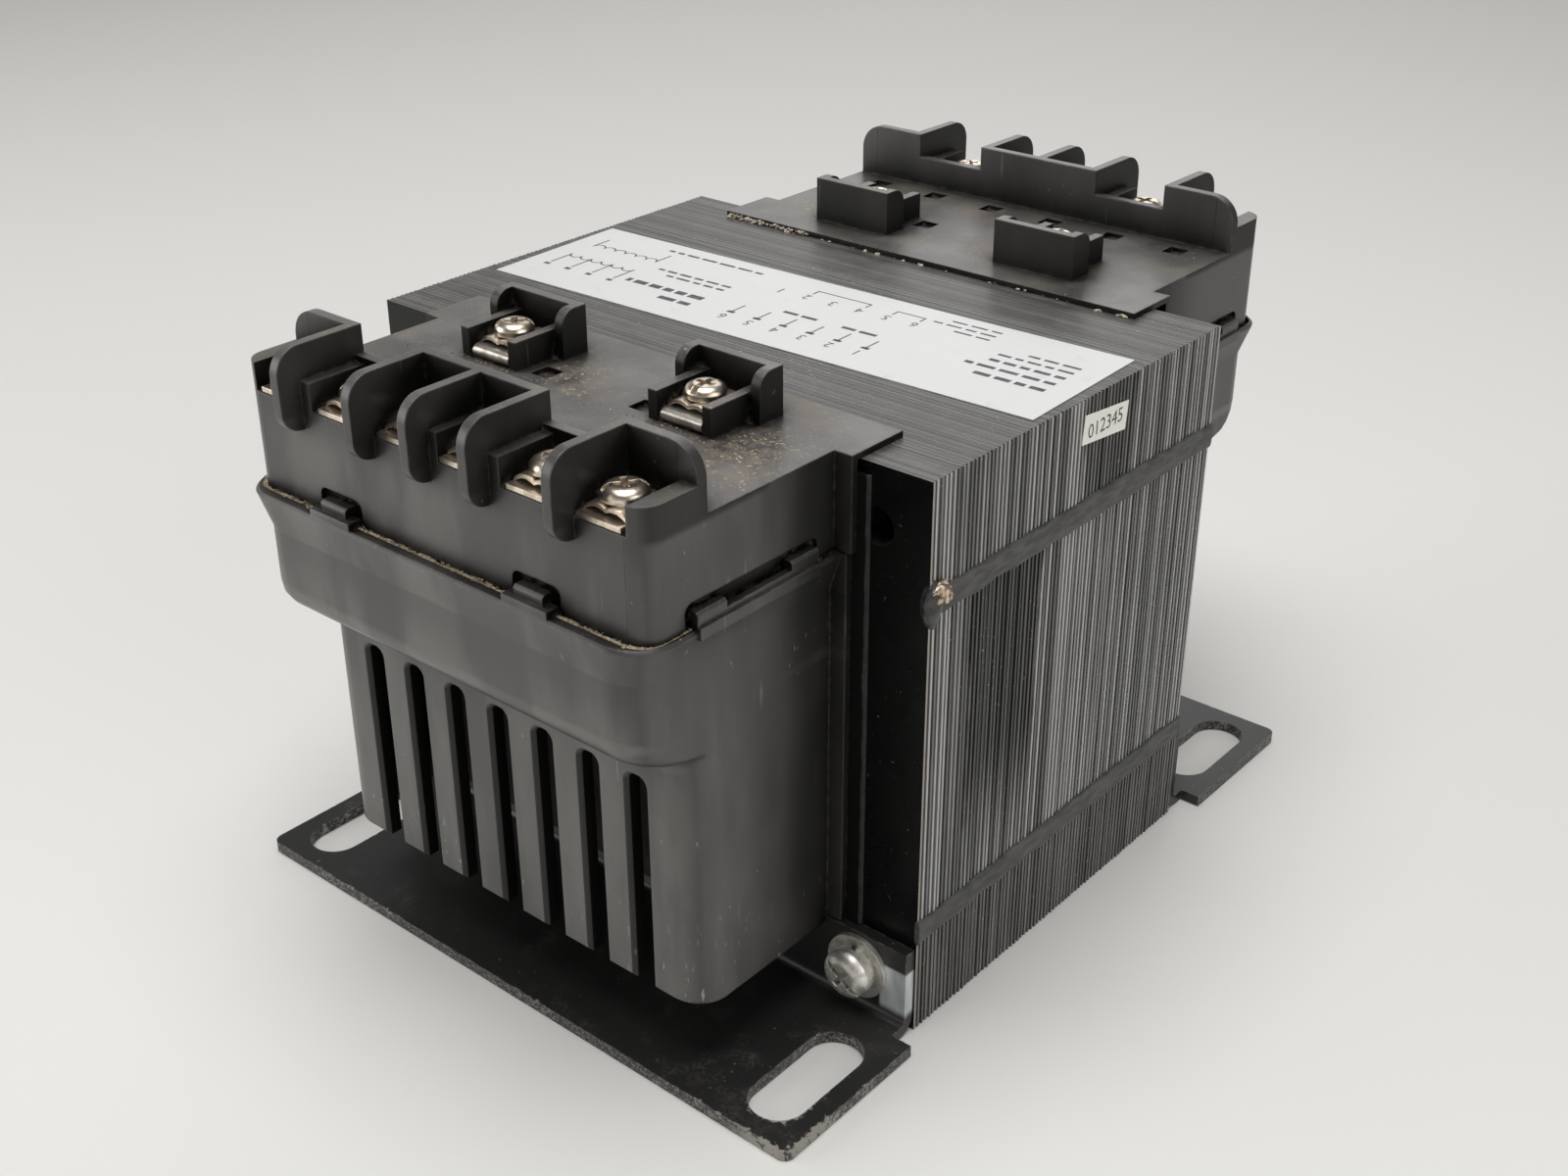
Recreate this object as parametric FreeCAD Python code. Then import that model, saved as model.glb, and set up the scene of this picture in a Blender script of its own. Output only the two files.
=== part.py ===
# Control transformer: a welded E and I lamination core with its coil standing on edge, two moulded
# end covers with vent slots, two screw terminal blocks and two slotted steel feet.
# X runs across the laminations' width, Y along the stack, Z up. The origin is on the mounting
# surface, under the middle of the core. The rear cover and block stand a little off the core. Millimetres.
# The sizes named below are the driving ones; places that follow from them are worked out after the list.
import FreeCAD, Part
import math
import os
from FreeCAD import Vector

# Core: standard E and I sheets, whose measures are multiples of the winding window's width
window_width = 22.225
stack_depth = 91.9
core_hole_diameter = 7.1
groove_pitch = 2.86
groove_width = 0.6
groove_depth = 0.35
weld_height = 5.0
weld_rise = 0.9

# Feet: bent steel, one under each end face of the core
foot_thickness = 2.4
foot_beyond_cover = 4.5
foot_flange_beyond_bolt = 10.7375
foot_tip_length = 4.3
foot_flange_above_bolt = 7.19
foot_bend_radius = 1.6
foot_relief = 6.0
foot_corner_radius = 2.0
slot_from_tip = 9.6
slot_from_edge = 17.1
slot_width = 11.1
slot_length = 26.2

# Coil: windings on a bobbin around the centre leg
bobbin_clearance = 0.3
bobbin_wall = 1.5
primary_share = 0.514
insulation_thickness = 0.8
wrap_thickness = 0.6
window_clearance = 1.9
coil_corner_radius = 3.0
bobbin_corner_radius = 1.0

# Liner sheet between each cover and the core face
liner_thickness = 0.8
liner_margin = 2.3

# End covers
cover_wall = 2.2
cover_front_wall = 3.2
cover_side_gap = 1.15
cover_below_coil = 5.6
cover_coil_room = 16.225
collar_step = 12.0
collar_below_top = 35.2
rim_below_top = 17.0
rim_height = 7.2
rim_flare = 2.1
rim_flare_front = 1.5
rim_lip = 0.6
cover_corner_radius = 6.5
collar_corner_radius = 7.5
cover_edge = 0.8
flange_width = 3.4
flange_thickness = 1.5
foot_clearance = 0.3
vent_count = 7
vent_pitch = 11.3
vent_width = 4.1
vent_top_margin = 3.7
vent_top_radius = 1.4
vent_bevel = 0.8
swoop_steps = 4
rear_stand_off = 3.8

# Terminal blocks
block_overhang = 0.6
block_front_gap = 1.9
block_corner_radius = 4.5
block_wall = 2.2
deck_rise = 1.15
deck_thickness = 2.5
tongue_reach = 11.3
tongue_overhang = 3.7
pilaster_thickness = 1.4
lip_seat_depth = 1.6
lip_groove = 0.4
lip_groove_front = 1.2
skirt_length = 6.0
skirt_wall = 1.8
skirt_clearance = 0.25
backboard_set_back = 13.9
backboard_thickness = 2.0
backboard_rise = 11.4
backboard_low_rise = 6.25
backboard_corner_radius = 5.5
fin_thickness = 2.0
fin_reach = 4.4
fin_drop = 3.7
fin_top_radius = 4.7
fin_foot_radius = 3.8
fin_outer_shift = 1.8
fin_inner_shift = 1.5
ledge_width = 2.4
middle_ledge_width = 1.9
ledge_rise = 5.1
end_wall = 3.7
latch_spacing = 48.4
latch_width = 6.6
latch_base_width = 10.4
latch_rise = 3.1
latch_base_rise = 1.3
latch_reach = 1.9
latch_base_reach = 3.0
latch_catch = 0.7
latch_catch_height = 1.6
latch_clearance = 0.1
latch_edge = 0.5
latch_recess_depth = 1.2
latch_recess_margin = 1.3
latch_recess_side = 0.3
latch_recess_radius = 1.6
side_latch_start = 7.8
side_latch_length = 29.3
side_latch_reach = 1.5
side_latch_rise = 1.6
side_base_reach = 2.1
side_base_rise = 0.6
side_tab_length = 6.8
mark_size = 4.2
mark_depth = 0.9
mark_setback = 5.5
mark_spacing = 24.2
mark_holder_reach = 8.5

# Terminals
terminals_per_block = 6
terminal_margin = 1.9
terminal_set_back = 6.3
plate_clearance = 0.15
plate_thickness = 1.0
plate_setback = 0.2
plate_length = 11.5
tail_width = 5.0
tail_thickness = 1.0
tail_length = 7.0
tail_clearance = 0.2
saddle_inset = 0.05
saddle_length = 9.0
saddle_thickness = 0.7
saddle_valley = 1.15
saddle_arch = 1.6
saddle_crest_share = 0.56
screw_head_diameter = 7.8
screw_head_height = 2.2
head_rim_share = 0.4
head_flat_share = 0.45
screw_shank_diameter = 3.4
screw_shank_length = 7.0
screw_turn_step = 47.0
screw_clearance = 0.1
screw_seat_gap = 0.05

# Holders for the two folded strip terminals of each block
holder_spacing = 46.6
holder_half_width = 9.55
holder_wall = 2.0
holder_set_back = 3.35
holder_rise = 9.2
holder_return = 6.0
holder_return_radius = 3.0
holder_cheek_half_width = 7.1
holder_cheek_rise = 5.45
holder_cheek_reach = 11.95
strip_width = 9.3
strip_thickness = 0.8
strip_height = 2.4
strip_clearance = 0.2
tangent_trim = 0.002
strip_screw_reach = 5.4
strip_head_diameter = 7.3

# Lead wires from the coil to the terminals
lead_diameter = 1.6
lead_start_below = 12.0
lead_rise = 5.0
lead_lap = 3.0
lead_bend_share = 0.45

# Core bolts and their hardware
bolt_diameter = 4.8
bolt_head_diameter = 9.8
bolt_head_height = 3.2
bolt_tip = 1.6
flat_washer_diameter = 13.0
flat_washer_thickness = 1.0
spring_washer_diameter = 9.2
spring_washer_thickness = 1.3
spring_washer_gap = 0.9
spring_washer_slant = 30.0
washer_clearance = 0.2
nut_width = 8.6
nut_height = 3.8
thread_clearance = 0.05
drive_slot_width = 1.1
drive_slot_depth = 1.0
bolt_turns = (65.0, 145.0)

# Labels: a sheet on the core's top and a small sticker on its side
label_end_margin = 2.475
label_width = 35.0
label_thickness = 0.15
label_turn = 2.1
sticker_length = 14.6
sticker_height = 5.5
sticker_offset = 5.6
sticker_below_top = 6.6
sticker_turn = 6.0

# How far a cutting shape runs past the surface that it opens
overrun = 1.0

# Places that follow from the sizes above
core_half_width = 3 * window_width
core_face = stack_depth / 2
core_top = 5 * window_width
yoke_top = window_width
joint_z = 4 * window_width
hole_x = core_half_width - window_width / 2
low_hole_z = window_width / 2
high_hole_z = core_top - window_width / 2

coil_build = window_width - window_clearance
winding_room = coil_build - bobbin_clearance - bobbin_wall - insulation_thickness - wrap_thickness
primary_thickness = primary_share * winding_room
secondary_thickness = winding_room - primary_thickness

cover_reach = coil_build + cover_coil_room
collar_reach = cover_reach + collar_step
cover_half = 2 * window_width + cover_side_gap + cover_wall
cover_bottom = yoke_top - cover_below_coil
rim_z = core_top - rim_below_top
kink_z = rim_z - rim_height
collar_bottom = core_top - collar_below_top
swoop_radius = (collar_reach - cover_reach) / 2
swoop_bottom = collar_bottom - 2 * swoop_radius
vent_top = swoop_bottom - vent_top_margin

foot_reach = cover_reach + foot_beyond_cover
foot_flange_half_length = hole_x + foot_flange_beyond_bolt
foot_half_length = foot_flange_half_length + foot_tip_length
foot_flange_height = low_hole_z + foot_flange_above_bolt
slot_x = foot_half_length - slot_from_tip
slot_reach = foot_reach - slot_from_edge
flange_bottom = foot_flange_height + foot_clearance
ledge_seat_z = rim_z - lip_seat_depth

deck_z = core_top + deck_rise
block_half = cover_half + block_overhang
block_reach = collar_reach - block_front_gap
backboard_reach = block_reach - backboard_set_back
terminal_reach = block_reach - terminal_set_back
tongue_half = block_half + tongue_overhang
terminal_pitch = 2 * (block_half - terminal_margin) / terminals_per_block
terminal_xs = [(i - (terminals_per_block - 1) / 2) * terminal_pitch for i in range(terminals_per_block)]
outer_fin_x = 2 * terminal_pitch + fin_outer_shift
inner_fin_x = terminal_pitch - fin_inner_shift
fin_xs = [-outer_fin_x, -inner_fin_x, 0.0, inner_fin_x, outer_fin_x]
holder_xs = [-holder_spacing / 2, holder_spacing / 2]
plate_width = terminal_pitch - fin_thickness - 2 * (middle_ledge_width + plate_clearance)
saddle_width = plate_width - 2 * saddle_inset
plate_start = backboard_reach + backboard_thickness + plate_setback
tail_reach = plate_start + tail_thickness / 2
saddle_seat_z = deck_z + plate_thickness


def plan(z):
    """Points (x, distance out from the core's front face) on the level z."""
    return lambda p: Vector(p.x, -(core_face + p.y), z)


def side(x):
    """Points (distance out from the core's front face, z) on the upright plane at x."""
    return lambda p: Vector(x, -(core_face + p.x), p.y)


def front(reach):
    """Points (x, z) on the upright plane at this distance out from the core's front face."""
    return lambda p: Vector(p.x, -(core_face + reach), p.y)


def outline(corners, place):
    """Closed wire through corners (u, v, radius), each corner rounded by its radius."""
    count = len(corners)
    rounded = []
    for index, (u, v, radius) in enumerate(corners):
        here = Vector(u, v, 0)
        back = (Vector(*corners[index - 1][:2], 0) - here).normalize()
        ahead = (Vector(*corners[(index + 1) % count][:2], 0) - here).normalize()
        half_angle = back.getAngle(ahead) / 2
        run = radius / math.tan(half_angle)
        inward = radius / math.sin(half_angle) - radius
        middle = here + (back + ahead).normalize() * inward if radius else here
        rounded.append((here + back * run, middle, here + ahead * run, radius))
    edges = []
    for index, (start, middle, finish, radius) in enumerate(rounded):
        if radius:
            edges.append(Part.Arc(place(start), place(middle), place(finish)).toShape())
        following = rounded[(index + 1) % count][0]
        if following.distanceToPoint(finish) > 1e-6:
            edges.append(Part.makeLine(place(finish), place(following)))
    return Part.Wire(edges)


def prism(corners, place, direction):
    return Part.Face(outline(corners, place)).extrude(direction)


def block(x0, x1, reach0, reach1, z0, z1):
    """Box between two x, two distances out from the core's front face, and two levels."""
    return Part.makeBox(x1 - x0, reach1 - reach0, z1 - z0, Vector(x0, -(core_face + reach1), z0))


def upright_cylinder(x, reach, z0, z1, diameter):
    return Part.makeCylinder(diameter / 2, z1 - z0, Vector(x, -(core_face + reach), z0))


def cap_corners(half, reach, radius, start):
    """Corners of a U-shaped plan section: open side at start, two rounded corners at reach."""
    return [(-half, start, 0), (-half, reach, radius), (half, reach, radius), (half, start, 0)]


def cap_prism(half, reach, radius, start, z0, z1):
    return prism(cap_corners(half, reach, radius, start), plan(z0), Vector(0, 0, z1 - z0))


def cap_loft(sections, start):
    """Straight-sided loft through sections (z, half width, reach, corner radius)."""
    wires = [outline(cap_corners(half, reach, radius, start), plan(z)) for z, half, reach, radius in sections]
    return Part.makeLoft(wires, True, True)


def mirrored(shape):
    """The same piece at the rear end of the core."""
    return shape.mirror(Vector(0, 0, 0), Vector(0, 1, 0))


def stood_off(shape):
    """The same piece at the rear end, where the cover and its block stand off the core."""
    rear = mirrored(shape)
    rear.translate(Vector(0, rear_stand_off, 0))
    return rear


def fuse(shapes):
    return shapes[0].multiFuse(shapes[1:]).removeSplitter()


def cut(shape, tools):
    return shape.cut(Part.makeCompound(tools)) if tools else shape


def notched_line(a0, a1, edge, depth_sign):
    """Points from a0 to a1 along an edge of the stack, with a V between every few sheets."""
    count = int((a1 - a0) / groove_pitch)
    first = (a0 + a1) / 2 - groove_pitch * (count - 1) / 2
    points = []
    for i in range(count):
        centre = first + i * groove_pitch
        points += [(edge, centre - groove_width / 2), (edge - depth_sign * groove_depth, centre),
                   (edge, centre + groove_width / 2)]
    return points


def stack_prism(z0, z1):
    """The sheets' outer edges left and right, grooved along the stack."""
    right = notched_line(-core_face, core_face, core_half_width, 1)
    left = notched_line(-core_face, core_face, -core_half_width, -1)
    points = [(core_half_width, -core_face)] + right + [(core_half_width, core_face)]
    points += [(-core_half_width, core_face)] + left[::-1] + [(-core_half_width, -core_face)]
    vectors = [Vector(x, y, z0) for x, y in points]
    return Part.Face(Part.makePolygon(vectors + vectors[:1])).extrude(Vector(0, 0, z1 - z0))


def core_holes(z):
    return [Part.makeCylinder(core_hole_diameter / 2, stack_depth, Vector(x, -core_face, z), Vector(0, 1, 0))
            for x in (-hole_x, hole_x)]


def core_e_stack():
    windows = [Part.makeBox(window_width, stack_depth, joint_z - yoke_top, Vector(x, -core_face, yoke_top))
               for x in (-2 * window_width, window_width)]
    return cut(stack_prism(0, joint_z), windows + core_holes(low_hole_z))


def core_i_stack():
    top = notched_line(-core_face, core_face, core_top, 1)
    points = [(joint_z, -core_face), (core_top, -core_face)] + top
    points += [(core_top, core_face), (joint_z, core_face)]
    vectors = [Vector(-core_half_width, y, z) for z, y in points]
    top_prism = Part.Face(Part.makePolygon(vectors + vectors[:1])).extrude(Vector(2 * core_half_width, 0, 0))
    return cut(stack_prism(joint_z, core_top).common(top_prism), core_holes(high_hole_z))


def weld_beads(z):
    """A low rounded bead along each side of the stack."""
    beads = []
    for sign in (-1, 1):
        edge = sign * core_half_width
        low, high = [Vector(edge, -core_face, z + half) for half in (-weld_height / 2, weld_height / 2)]
        arc = Part.Arc(low, Vector(edge + sign * weld_rise, -core_face, z), high).toShape()
        face = Part.Face(Part.Wire([arc, Part.makeLine(high, low)]))
        beads.append(face.extrude(Vector(0, stack_depth, 0)))
    return beads


def ring(inner, thickness, z0, z1, inner_radius, outer_radius):
    """Upright rectangular tube around the centre leg, inner being its clearance to the leg."""
    def tube(offset, radius):
        x, y = window_width + offset, core_face + offset
        corners = [(-x, -y, radius), (x, -y, radius), (x, y, radius), (-x, y, radius)]
        return prism(corners, lambda p: Vector(p.x, p.y, z0), Vector(0, 0, z1 - z0))
    return tube(inner + thickness, outer_radius).cut(tube(inner, inner_radius))


coil_z0 = yoke_top + bobbin_clearance
coil_z1 = joint_z - bobbin_clearance
winding_z0 = coil_z0 + bobbin_wall
winding_z1 = coil_z1 - bobbin_wall
primary_inner = bobbin_clearance + bobbin_wall
insulation_inner = primary_inner + primary_thickness
secondary_inner = insulation_inner + insulation_thickness
wrap_inner = secondary_inner + secondary_thickness


def coil_bobbin():
    tube = ring(bobbin_clearance, bobbin_wall, coil_z0, coil_z1, 0, bobbin_corner_radius)
    width = coil_build - bobbin_clearance
    flanges = [ring(bobbin_clearance, width, z, z + bobbin_wall, 0, coil_corner_radius)
               for z in (coil_z0, winding_z1)]
    return fuse([tube] + flanges)


def winding(inner, thickness):
    return ring(inner, thickness, winding_z0, winding_z1,
                bobbin_corner_radius if inner == primary_inner else coil_corner_radius, coil_corner_radius)


def core_liner():
    half = tongue_half + liner_margin
    sheet = block(-half, half, 0, liner_thickness, flange_bottom, core_top - liner_margin)
    opening = block(-2 * window_width, 2 * window_width, 0, liner_thickness, yoke_top, joint_z)
    return sheet.cut(opening)


def swoop(offset):
    """Levels and reaches down the S-shaped underside of the collar, for a wall offset inwards."""
    quarter = [i * math.pi / 2 / swoop_steps for i in range(swoop_steps + 1)]
    middle_reach = cover_reach + swoop_radius
    upper = [(collar_bottom - (swoop_radius - offset) * math.sin(a),
              middle_reach + (swoop_radius - offset) * math.cos(a)) for a in quarter]
    lower = [(swoop_bottom + (swoop_radius + offset) * math.cos(a),
              middle_reach - (swoop_radius + offset) * math.sin(a)) for a in quarter[1:]]
    return upper + lower


def swoop_sections(half, offset):
    """Sections down the swoop, their corner radius easing from the collar's to the cover's."""
    levels = swoop(offset)
    sections = []
    for index, (z, reach) in enumerate(levels):
        share = index / (len(levels) - 1)
        radius = collar_corner_radius + (cover_corner_radius - collar_corner_radius) * share
        sections.append((z, half, reach, radius - offset))
    return sections


def end_cover():
    start = liner_thickness
    rim_half, rim_reach = cover_half + rim_flare, collar_reach + rim_flare_front
    outer = [(rim_z, rim_half - rim_lip, rim_reach - rim_lip, collar_corner_radius),
             (rim_z - rim_lip, rim_half, rim_reach, collar_corner_radius + rim_lip),
             (kink_z, cover_half, collar_reach, collar_corner_radius)]
    outer += swoop_sections(cover_half, 0)
    outer += [(cover_bottom + cover_edge, cover_half, cover_reach, cover_corner_radius),
              (cover_bottom, cover_half - cover_edge / 2, cover_reach - cover_edge,
               cover_corner_radius - cover_edge / 2)]
    inner_half = cover_half - cover_wall
    inner = [(rim_z, inner_half, collar_reach - cover_front_wall, collar_corner_radius - cover_front_wall)]
    inner += swoop_sections(inner_half, cover_front_wall)
    inner += [(cover_bottom - cover_edge, inner_half, cover_reach - cover_front_wall,
               cover_corner_radius - cover_front_wall)]
    shell = cap_loft(outer, start).cut(cap_loft(inner, start - cover_wall))
    seat = cap_prism(block_half + lip_groove, block_reach + lip_groove_front,
                     block_corner_radius + lip_groove, start, ledge_seat_z, rim_z)
    shell = shell.cut(seat)
    flanges = [block(x, x + flange_width + cover_wall, liner_thickness, liner_thickness + flange_thickness,
                     flange_bottom, rim_z) for x in (inner_half, -inner_half - flange_width - cover_wall)]
    return cut(fuse([shell] + flanges + rim_hooks()), [foot_notch()] + vents())


def foot_notch():
    """Room for the foot's flange at the cover's lower edge."""
    half = cover_half + flange_width
    return block(-half, half, 0, foot_thickness + foot_clearance, cover_bottom - overrun, flange_bottom)


def vents():
    """Slots through the front wall, open at the bottom edge, with bevelled outer edges."""
    tools = []
    below = cover_bottom - vent_width
    for i in range(vent_count):
        x = (i - (vent_count - 1) / 2) * vent_pitch
        def mouth(grow, reach):
            half = vent_width / 2 + grow
            radius = vent_top_radius + grow
            corners = [(x - half, below, 0), (x + half, below, 0),
                       (x + half, vent_top + grow, radius), (x - half, vent_top + grow, radius)]
            return outline(corners, front(reach))
        inside = cover_reach - cover_front_wall - overrun
        tools.append(Part.Face(mouth(0, inside)).extrude(Vector(0, -(cover_front_wall + 2 * overrun), 0)))
        bevel = [mouth(0, cover_reach - vent_bevel), mouth(vent_bevel, cover_reach)]
        tools.append(Part.makeLoft(bevel, True, True))
    return tools


def block_body():
    """Hollow body under the deck, its shoulder on the cover's rim seat and its skirt inside the collar."""
    cavity_half = block_half - block_wall
    skirt_half = cover_half - cover_wall - skirt_clearance
    skirt_reach = collar_reach - cover_front_wall - skirt_clearance
    skirt_radius = collar_corner_radius - cover_front_wall
    start = liner_thickness
    shoulder_z = ledge_seat_z + block_wall
    body = cap_prism(block_half, block_reach, block_corner_radius, start, ledge_seat_z, deck_z)
    skirt = cap_prism(skirt_half, skirt_reach, skirt_radius, start + flange_thickness + skirt_clearance,
                      ledge_seat_z - skirt_length, ledge_seat_z + overrun)
    cavity = cap_prism(cavity_half, block_reach - block_wall, block_corner_radius - block_wall,
                       start + pilaster_thickness, shoulder_z, deck_z - deck_thickness)
    throat = cap_prism(skirt_half - skirt_wall, skirt_reach - skirt_wall, skirt_radius - skirt_wall / 2,
                       start + pilaster_thickness, ledge_seat_z - skirt_length - overrun,
                       shoulder_z + overrun)
    flange_room = block(-block_half, block_half, 0, start + flange_thickness + skirt_clearance,
                        ledge_seat_z - overrun, rim_z + foot_clearance)
    pilaster = block(-tongue_half, tongue_half, start, start + pilaster_thickness,
                     rim_z + foot_clearance, deck_z)
    tongue = block(-tongue_half, tongue_half, -tongue_reach, start + pilaster_thickness, core_top, deck_z)
    hollow = cut(body.fuse(skirt), [cavity, throat]).cut(flange_room)
    return fuse([hollow, pilaster, tongue])


def backboard():
    top, radius = deck_z + backboard_rise, backboard_corner_radius
    corners = [(-block_half, deck_z, 0), (block_half, deck_z, 0),
               (block_half, top, radius), (-block_half, top, radius)]
    board = prism(corners, front(backboard_reach), Vector(0, -backboard_thickness, 0))
    dips = [block(min(a, b) + fin_thickness / 2, max(a, b) - fin_thickness / 2, backboard_reach,
                  backboard_reach + backboard_thickness, deck_z + backboard_low_rise, top)
            for a, b in ((-outer_fin_x, -inner_fin_x), (inner_fin_x, outer_fin_x))]
    return cut(board, dips)


def fins():
    top, tip = deck_z + backboard_rise, block_reach + fin_reach
    corners = [(backboard_reach + backboard_thickness / 2, deck_z, 0),
               (backboard_reach + backboard_thickness / 2, top, 0), (tip, top, fin_top_radius),
               (tip, deck_z - fin_drop, fin_foot_radius), (block_reach, deck_z - fin_drop, 0),
               (block_reach, deck_z, 0)]
    return [prism(corners, side(x - fin_thickness / 2), Vector(fin_thickness, 0, 0)) for x in fin_xs]


def ledges():
    """Steps beside the fins, and the thicker walls at the two ends of the row."""
    back, top, half_fin = backboard_reach + backboard_thickness / 2, deck_z + ledge_rise, fin_thickness / 2
    steps = []
    for x, direction, width in ((-outer_fin_x, 1, ledge_width), (-inner_fin_x, -1, ledge_width),
                                (0.0, -1, middle_ledge_width), (0.0, 1, middle_ledge_width),
                                (inner_fin_x, 1, ledge_width), (outer_fin_x, -1, ledge_width)):
        near, far = x + direction * half_fin / 2, x + direction * (half_fin + width)
        steps.append(block(min(near, far), max(near, far), back, block_reach, deck_z, top))
    rounded = cap_prism(block_half, block_reach, block_corner_radius, back, deck_z, top)
    ends = [rounded.common(block(x, x + end_wall, back, block_reach, deck_z, top))
            for x in (-block_half, block_half - end_wall)]
    return steps + ends


def holder(x):
    """Upright pocket for a folded strip terminal: tall back with two returns and two lower cheeks."""
    back = -holder_set_back
    tall, low = deck_z + holder_rise, deck_z + holder_cheek_rise
    walls = [block(x - holder_half_width, x + holder_half_width, back, back + holder_wall, deck_z, tall)]
    returns = [(back + holder_wall / 2, deck_z, 0), (back + holder_return, deck_z, 0),
               (back + holder_return, tall, holder_return_radius), (back + holder_wall / 2, tall, 0)]
    cheeks = [(back + holder_wall / 2, deck_z, 0), (holder_cheek_reach, deck_z, 0),
              (holder_cheek_reach, low, 0), (back + holder_wall / 2, low, 0)]
    for corners, half in ((returns, holder_half_width), (cheeks, holder_cheek_half_width)):
        for left in (x - half, x + half - holder_wall):
            walls.append(prism(corners, side(left), Vector(holder_wall, 0, 0)))
    return walls


def hook_corners(wall, reach):
    """Section of a tooth on the cover's rim: it stands beside the block's wall and catches in it."""
    top = rim_z + latch_rise
    catch_z = top - latch_catch_height
    near = wall + latch_clearance
    return [(near, ledge_seat_z, 0), (wall + reach, ledge_seat_z, 0),
            (wall + reach, top - latch_edge, 0), (wall + reach - latch_edge, top, 0),
            (wall - latch_catch, top, 0), (wall - latch_catch, catch_z, 0), (near, catch_z, 0)]


def side_tab_starts():
    return side_latch_start, side_latch_start + side_latch_length - side_tab_length


def rim_hooks():
    """Hooks that hold the block on the cover: two in front, a stepped bar with two teeth at each side."""
    pieces = []
    for x in (-latch_spacing / 2, latch_spacing / 2):
        pieces.append(prism(hook_corners(block_reach, latch_reach), side(x - latch_width / 2),
                            Vector(latch_width, 0, 0)))
        pieces.append(block(x - latch_base_width / 2, x + latch_base_width / 2, block_reach + latch_clearance,
                            block_reach + latch_base_reach, ledge_seat_z, rim_z + latch_base_rise))
    for sign in (-1, 1):
        for reach, rise in ((side_base_reach, side_base_rise), (side_latch_reach, side_latch_rise)):
            near, far = sorted((sign * (block_half + latch_clearance), sign * (block_half + reach)))
            pieces.append(block(near, far, side_latch_start, side_latch_start + side_latch_length,
                                ledge_seat_z, rim_z + rise))
        for start in side_tab_starts():
            across = lambda p, reach=start: Vector(sign * p.x, -(core_face + reach), p.y)
            pieces.append(prism(hook_corners(block_half, side_latch_reach), across,
                                Vector(0, -side_tab_length, 0)))
    return pieces


def recess_corners(start, end):
    """Outline of a pocket in a wall, between two places along it, with rounded upper corners."""
    low, high = ledge_seat_z + latch_edge, rim_z + latch_rise + latch_recess_margin
    return [(start, low, 0), (end, low, 0),
            (end, high, latch_recess_radius), (start, high, latch_recess_radius)]


def hook_recesses():
    """Pockets in the block's outer walls behind the rim's hooks."""
    depth = latch_recess_depth + overrun
    half = latch_base_width / 2 + latch_recess_side
    floor = front(block_reach - latch_recess_depth)
    tools = [prism(recess_corners(x - half, x + half), floor, Vector(0, -depth, 0))
             for x in (-latch_spacing / 2, latch_spacing / 2)]
    start = side_latch_start - latch_recess_margin
    end = side_latch_start + side_latch_length + latch_recess_margin
    for left in (-block_half - overrun, block_half - latch_recess_depth):
        tools.append(prism(recess_corners(start, end), side(left), Vector(depth, 0, 0)))
    return tools


def marks():
    """Shallow square recesses in the deck, one per terminal and one beside each holder."""
    places = [(x, backboard_reach - mark_setback) for x in terminal_xs]
    places += [(x, mark_holder_reach) for x in (-mark_spacing / 2, mark_spacing / 2)]
    half = mark_size / 2
    return [block(x - half, x + half, reach - half, reach + half, deck_z - mark_depth, deck_z)
            for x, reach in places]


def terminal_block():
    solids = [block_body(), backboard()] + fins() + ledges()
    for x in holder_xs:
        solids += holder(x)
    tools = marks() + hook_recesses()
    for x in terminal_xs:
        half_tail = tail_width / 2 + tail_clearance
        tools.append(block(x - half_tail, x + half_tail, plate_start - tail_clearance,
                           plate_start + tail_thickness + tail_clearance, deck_z - deck_thickness, deck_z))
        tools.append(upright_cylinder(x, terminal_reach, deck_z - deck_thickness, deck_z,
                                      screw_shank_diameter + 2 * screw_clearance))
    for x in holder_xs:
        tools.append(upright_cylinder(x, strip_screw_reach, deck_z - deck_thickness, deck_z,
                                      screw_shank_diameter + 2 * screw_clearance))
    return cut(fuse(solids), tools)


def terminal_plates():
    """A plate under each terminal screw, its tail bent down through the deck."""
    plates = []
    for x in terminal_xs:
        plate = block(x - plate_width / 2, x + plate_width / 2, plate_start, plate_start + plate_length,
                      deck_z, deck_z + plate_thickness)
        tail = block(x - tail_width / 2, x + tail_width / 2, plate_start, plate_start + tail_thickness,
                     deck_z - tail_length, deck_z + plate_thickness)
        hole = upright_cylinder(x, terminal_reach, deck_z, deck_z + plate_thickness,
                                screw_shank_diameter + 2 * screw_clearance)
        plates.append(fuse([plate, tail]).cut(hole))
    return plates


def saddle_curve(width):
    """Points (x, z) of one arch of a saddle's top, from its tip over the crest to the valley."""
    half = width / 2
    return [(half, saddle_thickness / 2), (saddle_crest_share * half, saddle_arch), (0, saddle_valley)]


def saddle_top(width):
    """The highest level that a saddle of this width reaches over its seat."""
    circle = Part.Arc(*[Vector(u, z, 0) for u, z in saddle_curve(width)]).toShape().Curve
    return circle.Center.y + circle.Radius


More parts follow.
